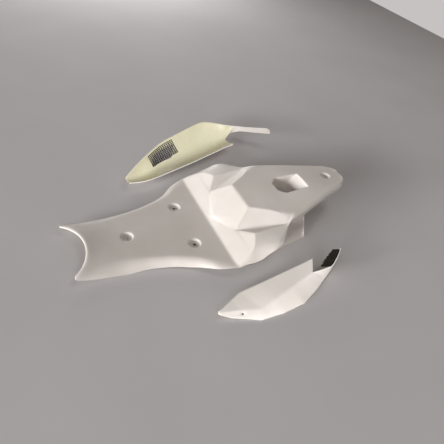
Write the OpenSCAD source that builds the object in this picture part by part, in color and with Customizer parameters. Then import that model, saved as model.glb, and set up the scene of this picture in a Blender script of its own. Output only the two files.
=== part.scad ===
// Racing seat unit in glass fibre: the seat moulding with its two side panels and their mesh.
// The origin is the front seat bolt's hole at the floor of its dish, +X runs to the tail and +Z is up.
// Everything is in millimetres. The seat moulding is drawn with the pan's surface at height 0, and a
// half section of it runs from the centre line out to the cut edge.

/* [Laminate] */
// Thickness of the seat moulding
wall = 3; // [2:0.1:3.5]
// Thickness of the side panels
panel_wall = 2.4; // [1.6:0.1:3]
// Thickness of the mesh sheet
mesh_wall = 1.2; // [0.8:0.1:2]
// Gap between a panel and the mesh glued inside it
glue_gap = 0.3; // [0.2:0.05:0.5]

/* [Bolts] */
// Distance from the front seat bolt to the rear pair
bolt_pitch = 145; // [135:1:155]
// Distance between the two rear seat bolts
bolt_span = 135; // [120:1:150]
// Distance from the front seat bolt to the tail bolt
tail_bolt_x = 562; // [555:1:570]
// Diameter of the seat bolt holes
bolt_d = 8; // [6:0.5:10]
// Diameter of the tail bolt hole
tail_bolt_d = 7; // [5:0.5:8]
// Diameter of the dish round each seat bolt, at its rim
dish_d = 30; // [26:1:32]
// Diameter of the flat floor of a dish
dish_floor_d = 19; // [16:0.5:21]
// Depth of a dish
dish_depth = 5; // [4:0.5:7]
// Diameter of the dish round the tail bolt
tail_dish_d = 26; // [22:1:28]

/* [Pan] */
// Reach of the front edge's centre ahead of the front bolt
front_reach = 97; // [90:1:105]
// Radius of the concave front edge
front_r = 102; // [98:1:120]
// Half width at the front horns
horn_half = 80; // [76:1:84]
// Half width of the narrowest part
waist_half = 94; // [90:1:98]
// Half width at the kink where the pan meets the hump
hip_half = 173; // [168:1:177]
// Drop of the rolled side edges below the pan
edge_drop = 22; // [18:1:26]
// Rise of the pan towards its front edge
front_rise = 5; // [2:0.5:8]
// Place of the kink where the pan meets the hump
kink_x = 210; // [205:1:213]

/* [Hump] */
// Place of the pad's lower point
pad_x = 223; // [221:1:226]
// Place of the pad's side corners, where the side grooves start
groove_x = 250; // [248:1:253]
// Half width of the pad at those corners
groove_half = 76; // [72:1:80]
// Place of the crest behind the pad
crest_x = 291; // [288:1:294]
// Half width of the pad at the crest
crest_half = 46; // [42:1:50]
// Height of the crest
crest_h = 61; // [58:0.5:64]
// Width of the bevel round the pad
bevel_w = 5; // [4:0.5:7]
// Height of the bevel round the pad
bevel_h = 4; // [3:0.5:5]
// Place of the brow, where the side ridge meets the front of the hump
brow_x = 275; // [272:1:278]
// Half width at the brow
brow_half = 116; // [113:1:119]
// Height of the brow
brow_h = 41; // [39:0.5:43]
// Largest half width, across the side pods
pod_half = 179; // [178:1:183]
// Place of the rear corner of the side pods
pod_x = 330; // [326:1:334]
// Half width at that corner
pod_end_half = 168; // [164:1:172]
// Height of that corner
pod_end_h = 38; // [35:1:41]

/* [Tail] */
// Place of the neck, where pod, side wall and tail top meet
neck_x = 370; // [366:1:374]
// Half width at the neck
neck_half = 120; // [116:1:124]
// Height at the neck
neck_h = 48; // [46:0.5:50]
// Place of the tail's rear end
tail_x = 612; // [608:1:618]
// Half width of the tail at its bolt
tail_half = 58; // [54:1:61]
// Height of the tail at its bolt
tail_h = 73; // [70:0.5:76]
// Depth of the return under the tail's edge
return_h = 10; // [8:0.5:13]
// Place of the rear end of the side walls, at their top
wall_x = 419; // [415:1:424]
// How far the foot of that rear end lies behind its top
wall_rake = 24; // [18:1:28]
// Half width at the foot of the side walls' rear end
wall_half = 116; // [112:1:120]

/* [Duct] */
// Place of the duct's front edge
duct_x = 398; // [392:1:404]
// Length of the duct's mouth
duct_l = 85; // [80:1:90]
// Half width of the duct's mouth where it is widest
duct_half = 31; // [28:1:33]
// Depth of the duct
duct_h = 34; // [28:1:36]

/* [Left panel] */
// Length of the left panel
left_l = 360; // [350:1:370]
// Width of the left panel
left_w = 100; // [94:1:106]
// Height over which the left panel bulges
left_h = 34; // [30:1:38]
// Diameter of the screw hole in its tab
screw_d = 5; // [4:0.5:6]
// How far behind the front seat bolt the left panel's tip lies
left_x = 116; // [106:1:126]
// How far to the left of the seat it lies
left_y = 262; // [262:1:290]
// How far it is turned away from the seat, in degrees
left_turn = 10; // [6:1:14]

/* [Right panel] */
// Length of the right panel
right_l = 520; // [510:1:530]
// Width of the right panel
right_w = 160; // [152:1:168]
// Height over which the right panel bulges
right_h = 50; // [44:1:56]
// How far behind the front seat bolt the right panel's tip lies
right_x = 62; // [52:1:72]
// How far to the right of the seat it lies
right_y = 204; // [204:1:230]
// How far it is turned away from the seat, in degrees
right_turn = 12; // [10:1:16]

/* [Hidden] */

// One overrun for every cut
cut = 1;
// Smallest step between neighbouring lines of a sheet
hair = 0.6;
// Facets round a dish and round a screw hole
round_sides = 48;
screw_sides = 32;

// Straight and smooth lookups in a table whose rows start with x
function column(t, k) = [for (r = t) [r[0], r[k]]];
function straight(t, x, k = 1) = lookup(x, column(t, k));
function span(t, x, i = 0) = i >= len(t) - 2 || x < t[i + 1][0] ? i : span(t, x, i + 1);
function slope(t, i, k) =
    let (a = max(i - 1, 0), b = min(i + 1, len(t) - 1))
    (t[b][k] - t[a][k]) / (t[b][0] - t[a][0]);
function hermite(p, q, m, n, s) =
    p * (1 + 2 * s) * pow(1 - s, 2) + q * s * s * (3 - 2 * s)
    + m * s * pow(1 - s, 2) - n * s * s * (1 - s);
function smooth(t, x, k = 1) =
    let (i = span(t, x), w = t[i + 1][0] - t[i][0], s = min(max((x - t[i][0]) / w, 0), 1))
    hermite(t[i][k], t[i + 1][k], slope(t, i, k) * w, slope(t, i + 1, k) * w, s);
function mix(a, b, s) = a + (b - a) * s;
function step(a, b, x) = min(max((x - a) / (b - a), 0), 1);

// Rise of the side edge at the kink, as a share of the edge drop
kink_rise_share = 0.05;
// The pan's side edge: share of the pan's length, share of its flare, share of its edge drop
pan_l = front_reach + kink_x;
pan_edge_shares = [
    [0.25, 0, 1], [0.40, 0.03, 0.91], [0.54, 0.14, 0.86], [0.61, 0.23, 0.82], [0.68, 0.34, 0.82],
    [0.75, 0.47, 0.70], [0.81, 0.63, 0.50], [0.87, 0.80, 0.27], [0.94, 0.91, 0.09],
    [1, 1, -kink_rise_share],
];
// The horns: share of the pan's length, share of the way from horn to waist, share of the edge drop
horn_shares = [
    [0, 0, 0.09], [0.015, 0.5, 0.30], [0.03, 0.62, 0.40], [0.055, 0.72, 0.55], [0.104, 0.86, 0.73],
    [0.17, 0.94, 0.90],
];
pan_edge = concat(
    [for (r = horn_shares)
        [r[0] * pan_l - front_reach, mix(horn_half, waist_half, r[1]), -r[2] * edge_drop]],
    [for (r = pan_edge_shares)
        [r[0] * pan_l - front_reach, mix(waist_half, hip_half, r[1]), -r[2] * edge_drop]]
);
// Where the pan's flat ends and its side roll starts, as a share of the half width
flat_shares = [[0, 0.72], [0.08, 0.64], [0.2, 0.66], [0.42, 0.77], [0.63, 0.81], [0.9, 0.82], [1, 0.86]];
// Reach of the curved front lines back into the pan, as a share of its length
front_share = 0.25;
// Place up to which the pan rises towards its front, as a share of the front's reach
rise_end_share = 0.1;
// Equal steps across the flat of half a pan; it falls by the square of the place among one more
flat_steps = 7;
// Angle through which the pan's sides roll down
roll_angle = 68;

// The hump's lines, in plan and height. The pad is the raised panel at its front.
front_slope = brow_h / (brow_x - kink_x);
function front_z(x) = front_slope * (x - kink_x);
pad_run = sqrt(pow(groove_x - pad_x, 2) + pow(groove_half, 2));
foot_x = pad_x - bevel_w * pad_run / groove_half;
foot_end_x = groove_x - bevel_w * groove_half / pad_run;
foot_end_half = groove_half + bevel_w * (groove_x - pad_x) / pad_run;
groove_h = front_z(groove_x) - bevel_h / 2;
// The neck's step up to the tail takes this share of the tail's length
tail_start_share = 0.058;
tail_start_x = mix(neck_x, tail_x, tail_start_share);
// The crest line on each side of the hump's top: share of the way from crest to neck, half width, height
shoulder_shares = [[0.62, 0.37, 1.03], [0.94, 0.62, 1.01]];
shoulders = [for (r = shoulder_shares)
    [mix(crest_x, neck_x, r[0]), mix(crest_half, neck_half, r[1]), crest_h * r[2]]];
// Outer edge of the side pods: share of their length, share of the half width, share of the height
pod_shares = [
    [0.23, 0.989, 0.16], [0.34, 0.994, 0.24], [0.49, 1, 0.38], [0.64, 0.985, 0.63], [0.79, 0.977, 0.87],
];
pod_edge = concat(
    [[kink_x, hip_half, edge_drop * kink_rise_share]],
    [for (r = pod_shares) [mix(kink_x, pod_x, r[0]), pod_half * r[1], pod_end_h * r[2]]],
    [[pod_x, pod_end_half, pod_end_h]]
);
// Crease between the hump's front and a side pod: share of the way from kink to brow, share of brow_half
crease_shares = [[0.09, 1.42], [0.4, 1.38], [0.6, 1.345], [0.8, 1.276], [0.89, 1.155]];

// The tail: share of the way from neck to end, share of tail_half, share of tail_h
tail_shares = [
    [tail_start_share, 1.96, 0.79], [0.2, 1.8, 0.82], [0.33, 1.62, 0.855], [0.51, 1.35, 0.895],
    [0.69, 1.07, 0.925],
    [0.89, 0.80, 0.94], [0.93, 0.71, 0.94], [0.965, 0.58, 0.945], [0.985, 0.46, 0.95], [1, 0.34, 0.955],
];
tail_edge = [for (r = tail_shares)
    [mix(neck_x, tail_x, r[0]), tail_half * r[1], tail_h * r[2]]];
// How far in from the tail's edge its roll starts, and how high above the edge
edge_in = 7;
edge_rise = 3.5;
// The points across half the tail's top, most of them near its edge
tail_across_shares = [0, 0.5, 0.92, 0.94, 0.96, 0.98, 1];
// The spine: share of the way, share of tail_h; its first point lies between the crest and the neck
spine_start_shares = [0.68, 0.905];
spine_shares = [[0, 0.93], [0.19, 0.96], [0.48, 1.013], [0.8, 1], [1, 0.986]];
spine = concat(
    [[crest_x, crest_h], [mix(crest_x, neck_x, spine_start_shares[0]), tail_h * spine_start_shares[1]]],
    [for (r = spine_shares) [mix(neck_x, tail_x, r[0]), tail_h * r[1]]]);
// The tail's end rolls down over these reaches, with these shares of the return's depth
end_reach_shares = [[0, 0], [0.15, 0.15], [0.24, 0.42], [0.27, 0.85]];
// There it spreads by this share of the way, and its thickness leans back by this angle
end_spread_share = 0.3;
end_lean = 80;

// Foot of the side walls: share of the way from pod start to wall end, share of wall_half, of edge_drop
foot_shares = [
    [0, 1.49, -kink_rise_share], [0.115, 1.478, 0.1], [0.195, 1.414, 0.55], [0.39, 1.31, 0.82],
    [0.6, 1.19, 1], [1, 1, 1],
];
foot = [for (r = foot_shares)
    [mix(kink_x, wall_x, r[0]), wall_half * r[1], -edge_drop * r[2]]];
// The side wall's points move back by this much at a station, at the wall's foot
function rake(x) =
    x <= wall_x ? wall_rake * step(neck_x, wall_x, x)
    : wall_rake * return_h / (tail_h + edge_drop) * (1 - step(wall_x + wall_end, wall_x + 2 * wall_rake, x));
// Width and rise of the flange along its foot
flange_w = 7;
flange_h = 4;
// Length over which a side wall's rear end runs up to the tail's return
wall_end = 4;

function outer(x) =
    x <= kink_x ? [smooth(pan_edge, x), smooth(pan_edge, x, 2)]
    : x <= pod_x ? [smooth(pod_edge, x), smooth(pod_edge, x, 2)]
    : x <= neck_x ? [for (k = [1, 2])
        mix([0, pod_end_half, pod_end_h][k], [0, neck_half, neck_h][k], step(pod_x, neck_x, x))]
    : x <= tail_start_x ? [for (k = [1, 2])
        mix([0, neck_half, neck_h][k], tail_edge[0][k], step(neck_x, tail_start_x, x))]
    : [smooth(tail_edge, x), smooth(tail_edge, x, 2)];

// Height of the pan's surface on the centre line
function pan_z(x) = front_rise * pow(1 - step(-front_reach, -front_reach * rise_end_share, x), 2);

// Points 0 to 6 of a half section, from the centre line out to the crease beside the pod
function pan_top(x) =
    let (flat = outer(x)[0] * smooth(flat_shares, (x + front_reach) / pan_l))
    [for (j = [0:6]) [flat * j / flat_steps, pan_z(x) * (1 - pow(j / (flat_steps + 1), 2))]];

// Where the pad's line, its foot, the groove, the ridge and the crease start on the kink, as shares of its
// half width; and the pad's foot at the brow, as shares of the way from the groove's start to the crest
fan_shares = [0.25, 0.38, 0.5, 0.63, 0.78];
foot_brow_shares = [0.6, 0.52];
spine_front = [
    [kink_x, 0], [foot_x, front_z(foot_x)], [pad_x, front_z(pad_x) + bevel_h], [crest_x, crest_h],
];
pad_line = [
    [kink_x, hip_half * fan_shares[0], 0],
    [foot_x, hair, front_z(foot_x)],
    [pad_x, 2 * hair, front_z(pad_x) + bevel_h],
    [groove_x, groove_half, front_z(groove_x)],
    [crest_x, crest_half, crest_h],
    shoulders[0],
    shoulders[1],
];
pad_foot = [
    [kink_x, hip_half * fan_shares[1], 0],
    [foot_x, 2 * hair, front_z(foot_x)],
    [foot_end_x, foot_end_half, front_z(foot_end_x)],
    [groove_x, groove_half + 2 * hair, groove_h],
    [brow_x, mix(groove_half, crest_half, foot_brow_shares[0]) + bevel_w,
        mix(groove_h, crest_h, foot_brow_shares[1])],
    [crest_x, crest_half + bevel_w, crest_h - bevel_h],
    shoulders[0] + [0, 4 * hair, -2 * hair],
    shoulders[1] + [0, 4 * hair, -2 * hair],
];
valley = [
    [kink_x, hip_half * fan_shares[2], 0], [foot_end_x, foot_end_half + 2 * hair, front_z(foot_end_x)],
    [groove_x, groove_half + 4 * hair, groove_h], [neck_x, neck_half - 4 * hair, neck_h + hair],
];
ridge = [
    [kink_x, hip_half * fan_shares[3], 0], [foot_end_x, foot_end_half + 4 * hair, front_z(foot_end_x)],
    [groove_x, groove_half + 7 * hair, groove_h + hair], [brow_x, brow_half, brow_h],
    [neck_x, neck_half - 3 * hair, neck_h + hair],
];
crease = concat(
    [[kink_x, hip_half * fan_shares[4], 0]],
    [for (r = crease_shares)
        [mix(kink_x, brow_x, r[0]), brow_half * r[1], front_z(mix(kink_x, brow_x, r[0]))]],
    [[brow_x, brow_half + 2 * hair, brow_h], [neck_x, neck_half - 2 * hair, neck_h + hair]]
);

// Point 1 lies half way to the pad's line, having fallen by this share of the spine's height over it
pad_fall_share = 0.25;
function hump_top(x) =
    let (
        lines = [pad_line, pad_foot, valley, ridge, crease],
        mid = x <= crest_x ? straight(spine_front, x) : smooth(spine, x),
        pad = [straight(pad_line, x), straight(pad_line, x, 2)]
    )
    concat([[0, mid], [pad[0] / 2, mix(mid, pad[1], pad_fall_share)]],
        [for (t = lines) [straight(t, x), straight(t, x, 2)]]);

function tail_top(x) =
    let (
        o = outer(x),
        mid = smooth(spine, x),
        half = o[0] - edge_in
    )
    [for (s = tail_across_shares) [half * s, mix(mid, o[1] + edge_rise, s * s)]];

function top(x) = x <= kink_x ? pan_top(x) : x <= neck_x ? hump_top(x) : tail_top(x);

// Points 7 to 13: the rolled edge of the pan, or the outer edge, side wall and flange
function pan_side(x) =
    let (
        o = outer(x),
        flat = o[0] * smooth(flat_shares, (x + front_reach) / pan_l),
        z = pan_z(x) * (1 - pow(flat_steps / (flat_steps + 1), 2))
    )
    [for (j = [0:6]) let (a = roll_angle * j / 6)
        [mix(flat, o[0], sin(a) / sin(roll_angle)),
         mix(z, o[1], (1 - cos(a)) / (1 - cos(roll_angle)))]];

function wall_foot(x) =
    x <= wall_x ? [straight(foot, x), straight(foot, x, 2)]
    : let (s = step(wall_x, wall_x + wall_end, x), o = outer(x))
      [mix(wall_half, o[0] + hair, s), mix(-edge_drop, o[1] - return_h, s)];

// The points down a pod's facet, and how far it bulges as a share of its width
pod_across_shares = [0.35, 0.65, 0.85];
pod_bulge_share = 0.06;
function body_side(x, c) =
    let (
        o = outer(x),
        f = wall_foot(x),
        m = step(kink_x, groove_x, x) * (1 - step(wall_x, wall_x + wall_end, x)),
        g = [f[0] - flange_w * m, f[1] + flange_h * m + hair],
        bulge = (o[0] - c[0]) * pod_bulge_share
    )
    concat(
        [for (s = pod_across_shares) mix(c, o, s) + [0, 4 * bulge * s * (1 - s)]],
        [o, mix(o, g, 0.5), g, f]
    );

// Right behind the kink the roll still shows, and starts this share of the way out
roll_start_share = 0.12;
function side(x) =
    x <= kink_x ? pan_side(x)
    : let (
        m = step(kink_x, groove_x, x),
        c = top(x)[6],
        o = outer(x),
        b = body_side(x, c),
        p = [for (j = [0:6]) let (a = roll_angle * j / 6)
            [mix(c[0], o[0], mix(roll_start_share, 1, sin(a) / sin(roll_angle))),
             mix(c[1], o[1], mix(roll_start_share, 1, (1 - cos(a)) / (1 - cos(roll_angle))))]]
    )
    [for (j = [0:6]) mix(p[j], b[j], pow(m, 0.5))];

// How far the wall's thickness leans over at each point, in degrees
pan_lean = [0, 0, 0, 0, 0, 0, 0, 4, 12, 22, 32, 42, 52, 60];
body_lean = [0, 0, 0, 0, 0, 0, 0, 8, 16, 28, 52, 84, 60, 45];

// The stations along the seat moulding
pan_station_shares = [
    0, 0.012, 0.028, 0.055, 0.095, 0.15, 0.2, 0.25, 0.33, 0.4, 0.47, 0.54, 0.61, 0.68, 0.75, 0.81, 0.87,
    0.93, 0.97, 1,
];
tail_station_shares = [0.09, 0.13, 0.17];
end_station_shares = [0.28, 0.36, 0.44, 0.52, 0.6, 0.7, 0.8, 0.89, 0.93, 0.965, 0.985];
stations = concat(
    [for (s = pan_station_shares) s * pan_l - front_reach],
    [mix(kink_x, foot_x, 0.5), foot_x, pad_x, mix(pad_x, foot_end_x, 0.33), mix(pad_x, foot_end_x, 0.67)],
    [foot_end_x, groove_x, mix(groove_x, brow_x, 0.3), mix(groove_x, brow_x, 0.65), brow_x],
    [mix(brow_x, crest_x, 0.5), crest_x, mix(crest_x, pod_x, 0.25), mix(crest_x, pod_x, 0.6), pod_x],
    [for (s = [0.25, 0.5, 0.75]) mix(pod_x, neck_x, s)],
    [neck_x, tail_start_x],
    [for (s = tail_station_shares) mix(neck_x, tail_x, s)],
    [wall_x, wall_x + wall_end],
    [for (s = end_station_shares) mix(neck_x, tail_x, s)],
    [for (r = end_reach_shares) tail_x + r[0] * return_h]
);

function end_drop(x) =
    let (t = [for (r = end_reach_shares) [tail_x + r[0] * return_h, r[1] * return_h]])
    straight(t, x);

// The front edge's circle is followed up to this share of its radius
front_half_share = 0.98;

// One whole section, from the near cut edge over the top to the far one, and its lean
function half_section(x) =
    let (
        xs = min(x, tail_x),
        s = concat(top(xs), side(xs)),
        low = s[13][1],
        fall = end_drop(x),
        room = s[10][1] - low,
        k = step(0, front_share, (x + front_reach) / pan_l)
    )
    [for (j = [0:13])
        let (
            y = s[j][0] + (j == 0 ? 0 : (x - xs) * end_spread_share),
            z = j <= 10 ? s[j][1] - fall : mix(low, s[j][1], 1 - fall / room),
            r = front_r - sqrt(pow(front_r, 2) - pow(min(y, front_r * front_half_share), 2))
        )
        [x - r * pow(1 - k, 2) + (j > 10 ? rake(x) * (s[10][1] - z) / (s[10][1] - low) : 0), y, z]];
function half_lean(x) =
    let (m = pow(step(kink_x, groove_x, x), 0.5), b = end_lean * step(tail_x, stations[len(stations) - 1], x))
    [for (j = [0:13]) let (a = mix(pan_lean[j], body_lean[j], m))
        [sin(b) * cos(a), sin(a), cos(b) * cos(a)]];
function both(half, flip) = concat(
    [for (j = [13:-1:1]) [half[j][0], -half[j][1], half[j][2]]], half);

shell_rows = [for (x = stations) both(half_section(x))];
shell_leans = [for (x = stations) both(half_lean(x))];

// The duct's mouth: share of its length, share of its half width; and its foot
duct_shares = [[0, 0.49], [0.2, 1], [1, 0.93]];
duct_foot_shares = [[0.04, 0.45], [0.16, 0.85], [0.54, 0.72]];

// The side panels and their mesh. Each row runs across a panel, from its straight edge over the
// middle or crease to its outer edge, in shares of its length, width and bulge.
left_row_shares = [
    [[0.012, 0.018, 0.35], [0.001, 0.002, 0.31], [0.006, -0.042, 0.25]],
    [[0.115, 0.120, 0.35], [0.133, -0.177, 0.29], [0.063, -0.207, 0.10]],
    [[0.203, 0.197, 0.41], [0.248, -0.388, 0.35], [0.218, -0.561, 0]],
    [[0.366, 0.140, 0.59], [0.351, -0.379, 0.56], [0.370, -0.673, 0]],
    [[0.547, 0.090, 0.76], [0.497, -0.348, 0.73], [0.539, -0.709, 0]],
    [[0.695, 0.045, 0.91], [0.629, -0.308, 0.85], [0.698, -0.566, 0.03]],
    [[0.777, 0.024, 1], [0.696, -0.291, 0.91], [0.786, -0.458, 0.06]],
    [[0.771, -0.351, 0.91], [0.771, -0.351, 0.91], [0.853, -0.378, 0.09]],
    [[0.850, -0.394, 0.97], [0.850, -0.394, 0.97], [0.914, -0.300, 0.24]],
    [[0.906, -0.330, 1.18], [0.906, -0.330, 1.18], [0.928, -0.204, 0.53]],
    [[0.946, -0.257, 1.38], [0.946, -0.257, 1.38], [0.953, -0.127, 0.77]],
    [[0.970, -0.194, 1.56], [0.970, -0.194, 1.56], [0.979, -0.067, 0.94]],
];
// The row at whose crease the notch behind the left panel's straight edge starts
left_notch = 6;
// The screw hole in the tab: its row, and its reach across the panel
screw_shares = [1.24, 0.74];
right_row_shares = [
    [[-0.003, -0.087, 0.48], [0, 0, 0.42], [0.001, 0.061, 0.48]],
    [[0.038, -0.133, 0.48], [0.075, 0.100, 0.14], [0.087, 0.213, 0.64]],
    [[0.083, -0.163, 0.48], [0.150, 0.160, 0.02], [0.185, 0.367, 0.80]],
    [[0.143, -0.165, 0.50], [0.235, 0.230, 0], [0.312, 0.563, 0.88]],
    [[0.212, -0.150, 0.52], [0.325, 0.270, 0], [0.425, 0.647, 0.96]],
    [[0.313, -0.118, 0.54], [0.425, 0.320, 0], [0.525, 0.718, 1.02]],
    [[0.431, -0.076, 0.56], [0.540, 0.370, 0.02], [0.639, 0.779, 1.08]],
    [[0.518, -0.038, 0.58], [0.612, 0.380, 0.08], [0.693, 0.725, 1.06]],
    [[0.604, -0.002, 0.60], [0.680, 0.380, 0.14], [0.741, 0.643, 1]],
    [[0.668, 0.028, 0.62], [0.720, 0.390, 0.20], [0.781, 0.550, 0.96]],
    [[0.732, 0.056, 0.64], [0.760, 0.400, 0.28], [0.818, 0.484, 0.92]],
    [[0.805, 0.455, 0.40], [0.805, 0.455, 0.40], [0.846, 0.439, 0.90]],
    [[0.836, 0.430, 0.50], [0.836, 0.430, 0.50], [0.871, 0.376, 0.92]],
    [[0.861, 0.347, 0.64], [0.861, 0.347, 0.64], [0.894, 0.278, 1]],
    [[0.913, 0.166, 0.76], [0.913, 0.166, 0.76], [0.929, 0.132, 1.12]],
    [[0.963, -0.018, 0.88], [0.963, -0.018, 0.88], [0.970, -0.022, 1.24]],
    [[0.988, -0.105, 0.96], [0.988, -0.105, 0.96], [0.982, -0.085, 1.14]],
];
right_notch = 10;

// All pieces rest on one floor: the seat moulding's lowest edge, and each panel's lowest point above
// its own base as a share of its thickness
floor_z = -edge_drop - wall * cos(body_lean[13]);
left_rest_share = 0.21;
right_rest_share = -0.21;

// Points across half a panel; the arm behind the notch keeps only the outer half
half_cols = 4;
// How far the left panel's lower facet swells, as a share of its height, and out as a share of that
swell_share = 0.12;
swell_out_share = 0.3;
function key(t, i, c) = t[min(max(i, 0), len(t) - 1)][c];
function glide(t, u, c) =
    let (i = min(floor(u), len(t) - 2), s = u - i)
    hermite(key(t, i, c), key(t, i + 1, c), (key(t, i + 1, c) - key(t, i - 1, c)) / 2,
        (key(t, i + 2, c) - key(t, i, c)) / 2, s);
function plain(t, u, c) = let (i = min(floor(u), len(t) - 2)) mix(t[i][c], t[i + 1][c], u - i);
// s runs from 0 at the straight edge over 0.5 at the crease to 1 at the outer edge, and past it
function left_share(u, s) =
    let (
        soft = u > left_notch,
        a = soft ? glide(left_row_shares, u, 0) : plain(left_row_shares, u, 0),
        k = soft ? glide(left_row_shares, u, 1) : plain(left_row_shares, u, 1),
        e = soft ? glide(left_row_shares, u, 2) : plain(left_row_shares, u, 2),
        q = 2 * s - 1,
        swell = soft || q > 1 ? 0 : swell_share * q * (1 - q) * step(1, 2, u)
    )
    s < 0.5 ? mix(a, k, 2 * s) : mix(k, e, q) + [0, -swell * swell_out_share, swell];
function right_share(u, s) =
    let (
        a = glide(right_row_shares, u, 0),
        k = glide(right_row_shares, u, 1),
        e = glide(right_row_shares, u, 2)
    )
    u > right_notch ? mix(k, e, 2 * s - 1)
    : a * (1 - s) * (1 - 2 * s) + k * 4 * s * (1 - s) + e * s * (2 * s - 1);
function in_sizes(p, sizes) = [p[0] * sizes[0], p[1] * sizes[1], p[2] * sizes[2] + panel_wall];
function left_point(u, s) = in_sizes(left_share(u, s), [left_l, left_w, left_h]);
function right_point(u, s) = in_sizes(right_share(u, s), [right_l, right_w, right_h]);

// Direction square to a surface given by a function of u and s, which changes its formula past seam
nudge_share = 0.02;
function unit(v) = v / norm(v);
function square_to(point, u, s, seam) =
    let (
        a = point(u > seam ? u : min(u + nudge_share, seam), s) - point(max(u - nudge_share, 0), s),
        b = point(u, s + nudge_share) - point(u, s - nudge_share)
    )
    norm(cross(a, b)) == 0 ? [0, 0, 1] : unit(cross(a, b));

left_stations = concat(
    [for (u = [0:left_notch]) u],
    [for (u = [left_notch + 0.5:0.5:len(left_row_shares) - 1]) u]
);
right_stations = [for (u = [0:0.5:len(right_row_shares) - 1]) u];
cols = [for (j = [0:2 * half_cols]) j / (2 * half_cols)];

// The right mesh patch: the row and the reach across the panel of each of its corners
right_patch_shares = [[2.05, 0.95], [2.55, 0.6], [4.5, 0.68], [3.78, 0.94]];
right_holes = [13, 9];
// The window under it: first and last row, and its reach across the panel
right_window_shares = [2.5, 4, 0.625, 0.875];
// The left mesh runs forward from the arm's upper edge into the notch: row and reach in panel widths
left_reach_shares = [[7.8, 0.24], [8, 0.27], [9, 0.36], [10.8, 0.24]];
left_reach_turn = 25;
left_holes = [11, 5];
// Width of a hole in the mesh, as a share of its pitch
hole_share = 0.6;
// Lines of a lattice of n holes between strands, as shares of its width
function lattice(n) =
    [for (i = [0:2 * n + 1]) (floor(i / 2) + (i % 2) * (1 - hole_share)) / (n + 1 - hole_share)];

// A sheet of even thickness over a grid of points, with its back along -leans from the front.
// Rows run along the part and columns to its left; solid says which cells are there.
module sheet(rows, leans, thickness, solid = function (i, j) true) {
    m = len(rows);
    n = len(rows[0]);
    skin = [for (r = rows) each r];
    back = [for (i = [0:m - 1]) for (j = [0:n - 1]) rows[i][j] - thickness * leans[i][j]];
    live = function (i, j) i >= 0 && j >= 0 && i < m - 1 && j < n - 1 && solid(i, j);
    cells = [for (i = [0:m - 2]) for (j = [0:n - 2]) if (live(i, j)) [i, j]];
    c = function (i, j) i * n + j;
    d = function (i, j) (i + m) * n + j;
    faces = [for (q = cells) let (i = q[0], j = q[1]) each [
        [c(i, j), c(i, j + 1), c(i + 1, j)], [c(i + 1, j), c(i, j + 1), c(i + 1, j + 1)],
        [d(i, j), d(i + 1, j), d(i, j + 1)], [d(i + 1, j), d(i + 1, j + 1), d(i, j + 1)],
        if (!live(i - 1, j)) each [[c(i, j), d(i, j), c(i, j + 1)], [c(i, j + 1), d(i, j), d(i, j + 1)]],
        if (!live(i + 1, j)) each [
            [c(i + 1, j), c(i + 1, j + 1), d(i + 1, j)], [c(i + 1, j + 1), d(i + 1, j + 1), d(i + 1, j)]],
        if (!live(i, j - 1)) each [[c(i, j), c(i + 1, j), d(i, j)], [c(i + 1, j), d(i + 1, j), d(i, j)]],
        if (!live(i, j + 1)) each [
            [c(i, j + 1), d(i, j + 1), c(i + 1, j + 1)], [c(i + 1, j + 1), d(i, j + 1), d(i + 1, j + 1)]],
    ]];
    polyhedron(concat(skin, back), faces);
}

// A dish pressed down round a bolt, and what is taken out of it
module dish(d, floor_d) {
    translate([0, 0, -dish_depth - wall])
        cylinder(h = dish_depth + wall / 2, d1 = floor_d + wall, d2 = d + wall, $fn = round_sides);
}
module dish_hollow(d, floor_d, bolt) {
    translate([0, 0, -dish_depth]) {
        cylinder(h = dish_depth, d1 = floor_d, d2 = d, $fn = round_sides);
        translate([0, 0, dish_depth - hair / 4]) cylinder(h = dish_depth, d = d, $fn = round_sides);
        translate([0, 0, -wall - cut]) cylinder(h = wall + 2 * cut, d = bolt, $fn = round_sides);
    }
}
seat_bolts = [[0, 0, 0], [bolt_pitch, -bolt_span / 2, 0], [bolt_pitch, bolt_span / 2, 0]];
tail_bolt = [tail_bolt_x, 0, smooth(spine, tail_bolt_x)];

// The duct through the tail: a six-sided funnel that leans forward, larger all round by grow
function duct_ring(shares, z, grow) =
    let (
        n = len(shares),
        half = [for (i = [0:n - 1]) [
            duct_x + shares[i][0] * duct_l + grow * (i == 0 ? -1 : i == n - 1 ? 1 : -0.5),
            shares[i][1] * duct_half + grow, z]]
    )
    concat(half, [for (i = [n - 1:-1:0]) [half[i][0], -half[i][1], z]]);
module duct(grow, top_z, foot_z) {
    lower = duct_ring(duct_foot_shares, foot_z, grow);
    upper = duct_ring(duct_shares, tail_h, grow);
    head = [for (p = upper) [p[0], p[1], top_z]];
    n = len(lower);
    ring = function (a, b) [for (i = [0:n - 1]) let (k = (i + 1) % n) each
        [[a * n + i, a * n + k, b * n + i], [a * n + k, b * n + k, b * n + i]]];
    polyhedron(concat(lower, upper, head), concat(
        [[for (i = [n - 1:-1:0]) i]], ring(0, 1), ring(1, 2), [[for (i = [0:n - 1]) 2 * n + i]]));
}

module seat_shell() {
    color("ghostwhite") from_bolt() difference() {
        union() {
            sheet(shell_rows, shell_leans, wall);
            for (p = seat_bolts) translate(p) dish(dish_d, dish_floor_d);
            translate(tail_bolt) dish(tail_dish_d, dish_floor_d - (dish_d - tail_dish_d));
            difference() {
                duct(wall, tail_h + hair, tail_h - duct_h);
                translate([duct_x - duct_l, -duct_l, tail_h - wall - hair])
                    cube([3 * duct_l, 2 * duct_l, duct_l]);
            }
        }
        for (p = seat_bolts) translate(p) dish_hollow(dish_d, dish_floor_d, bolt_d);
        translate(tail_bolt) dish_hollow(tail_dish_d, dish_floor_d - (dish_d - tail_dish_d), tail_bolt_d);
        duct(0, tail_h + duct_h, tail_h - duct_h - cut);
    }
}

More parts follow.
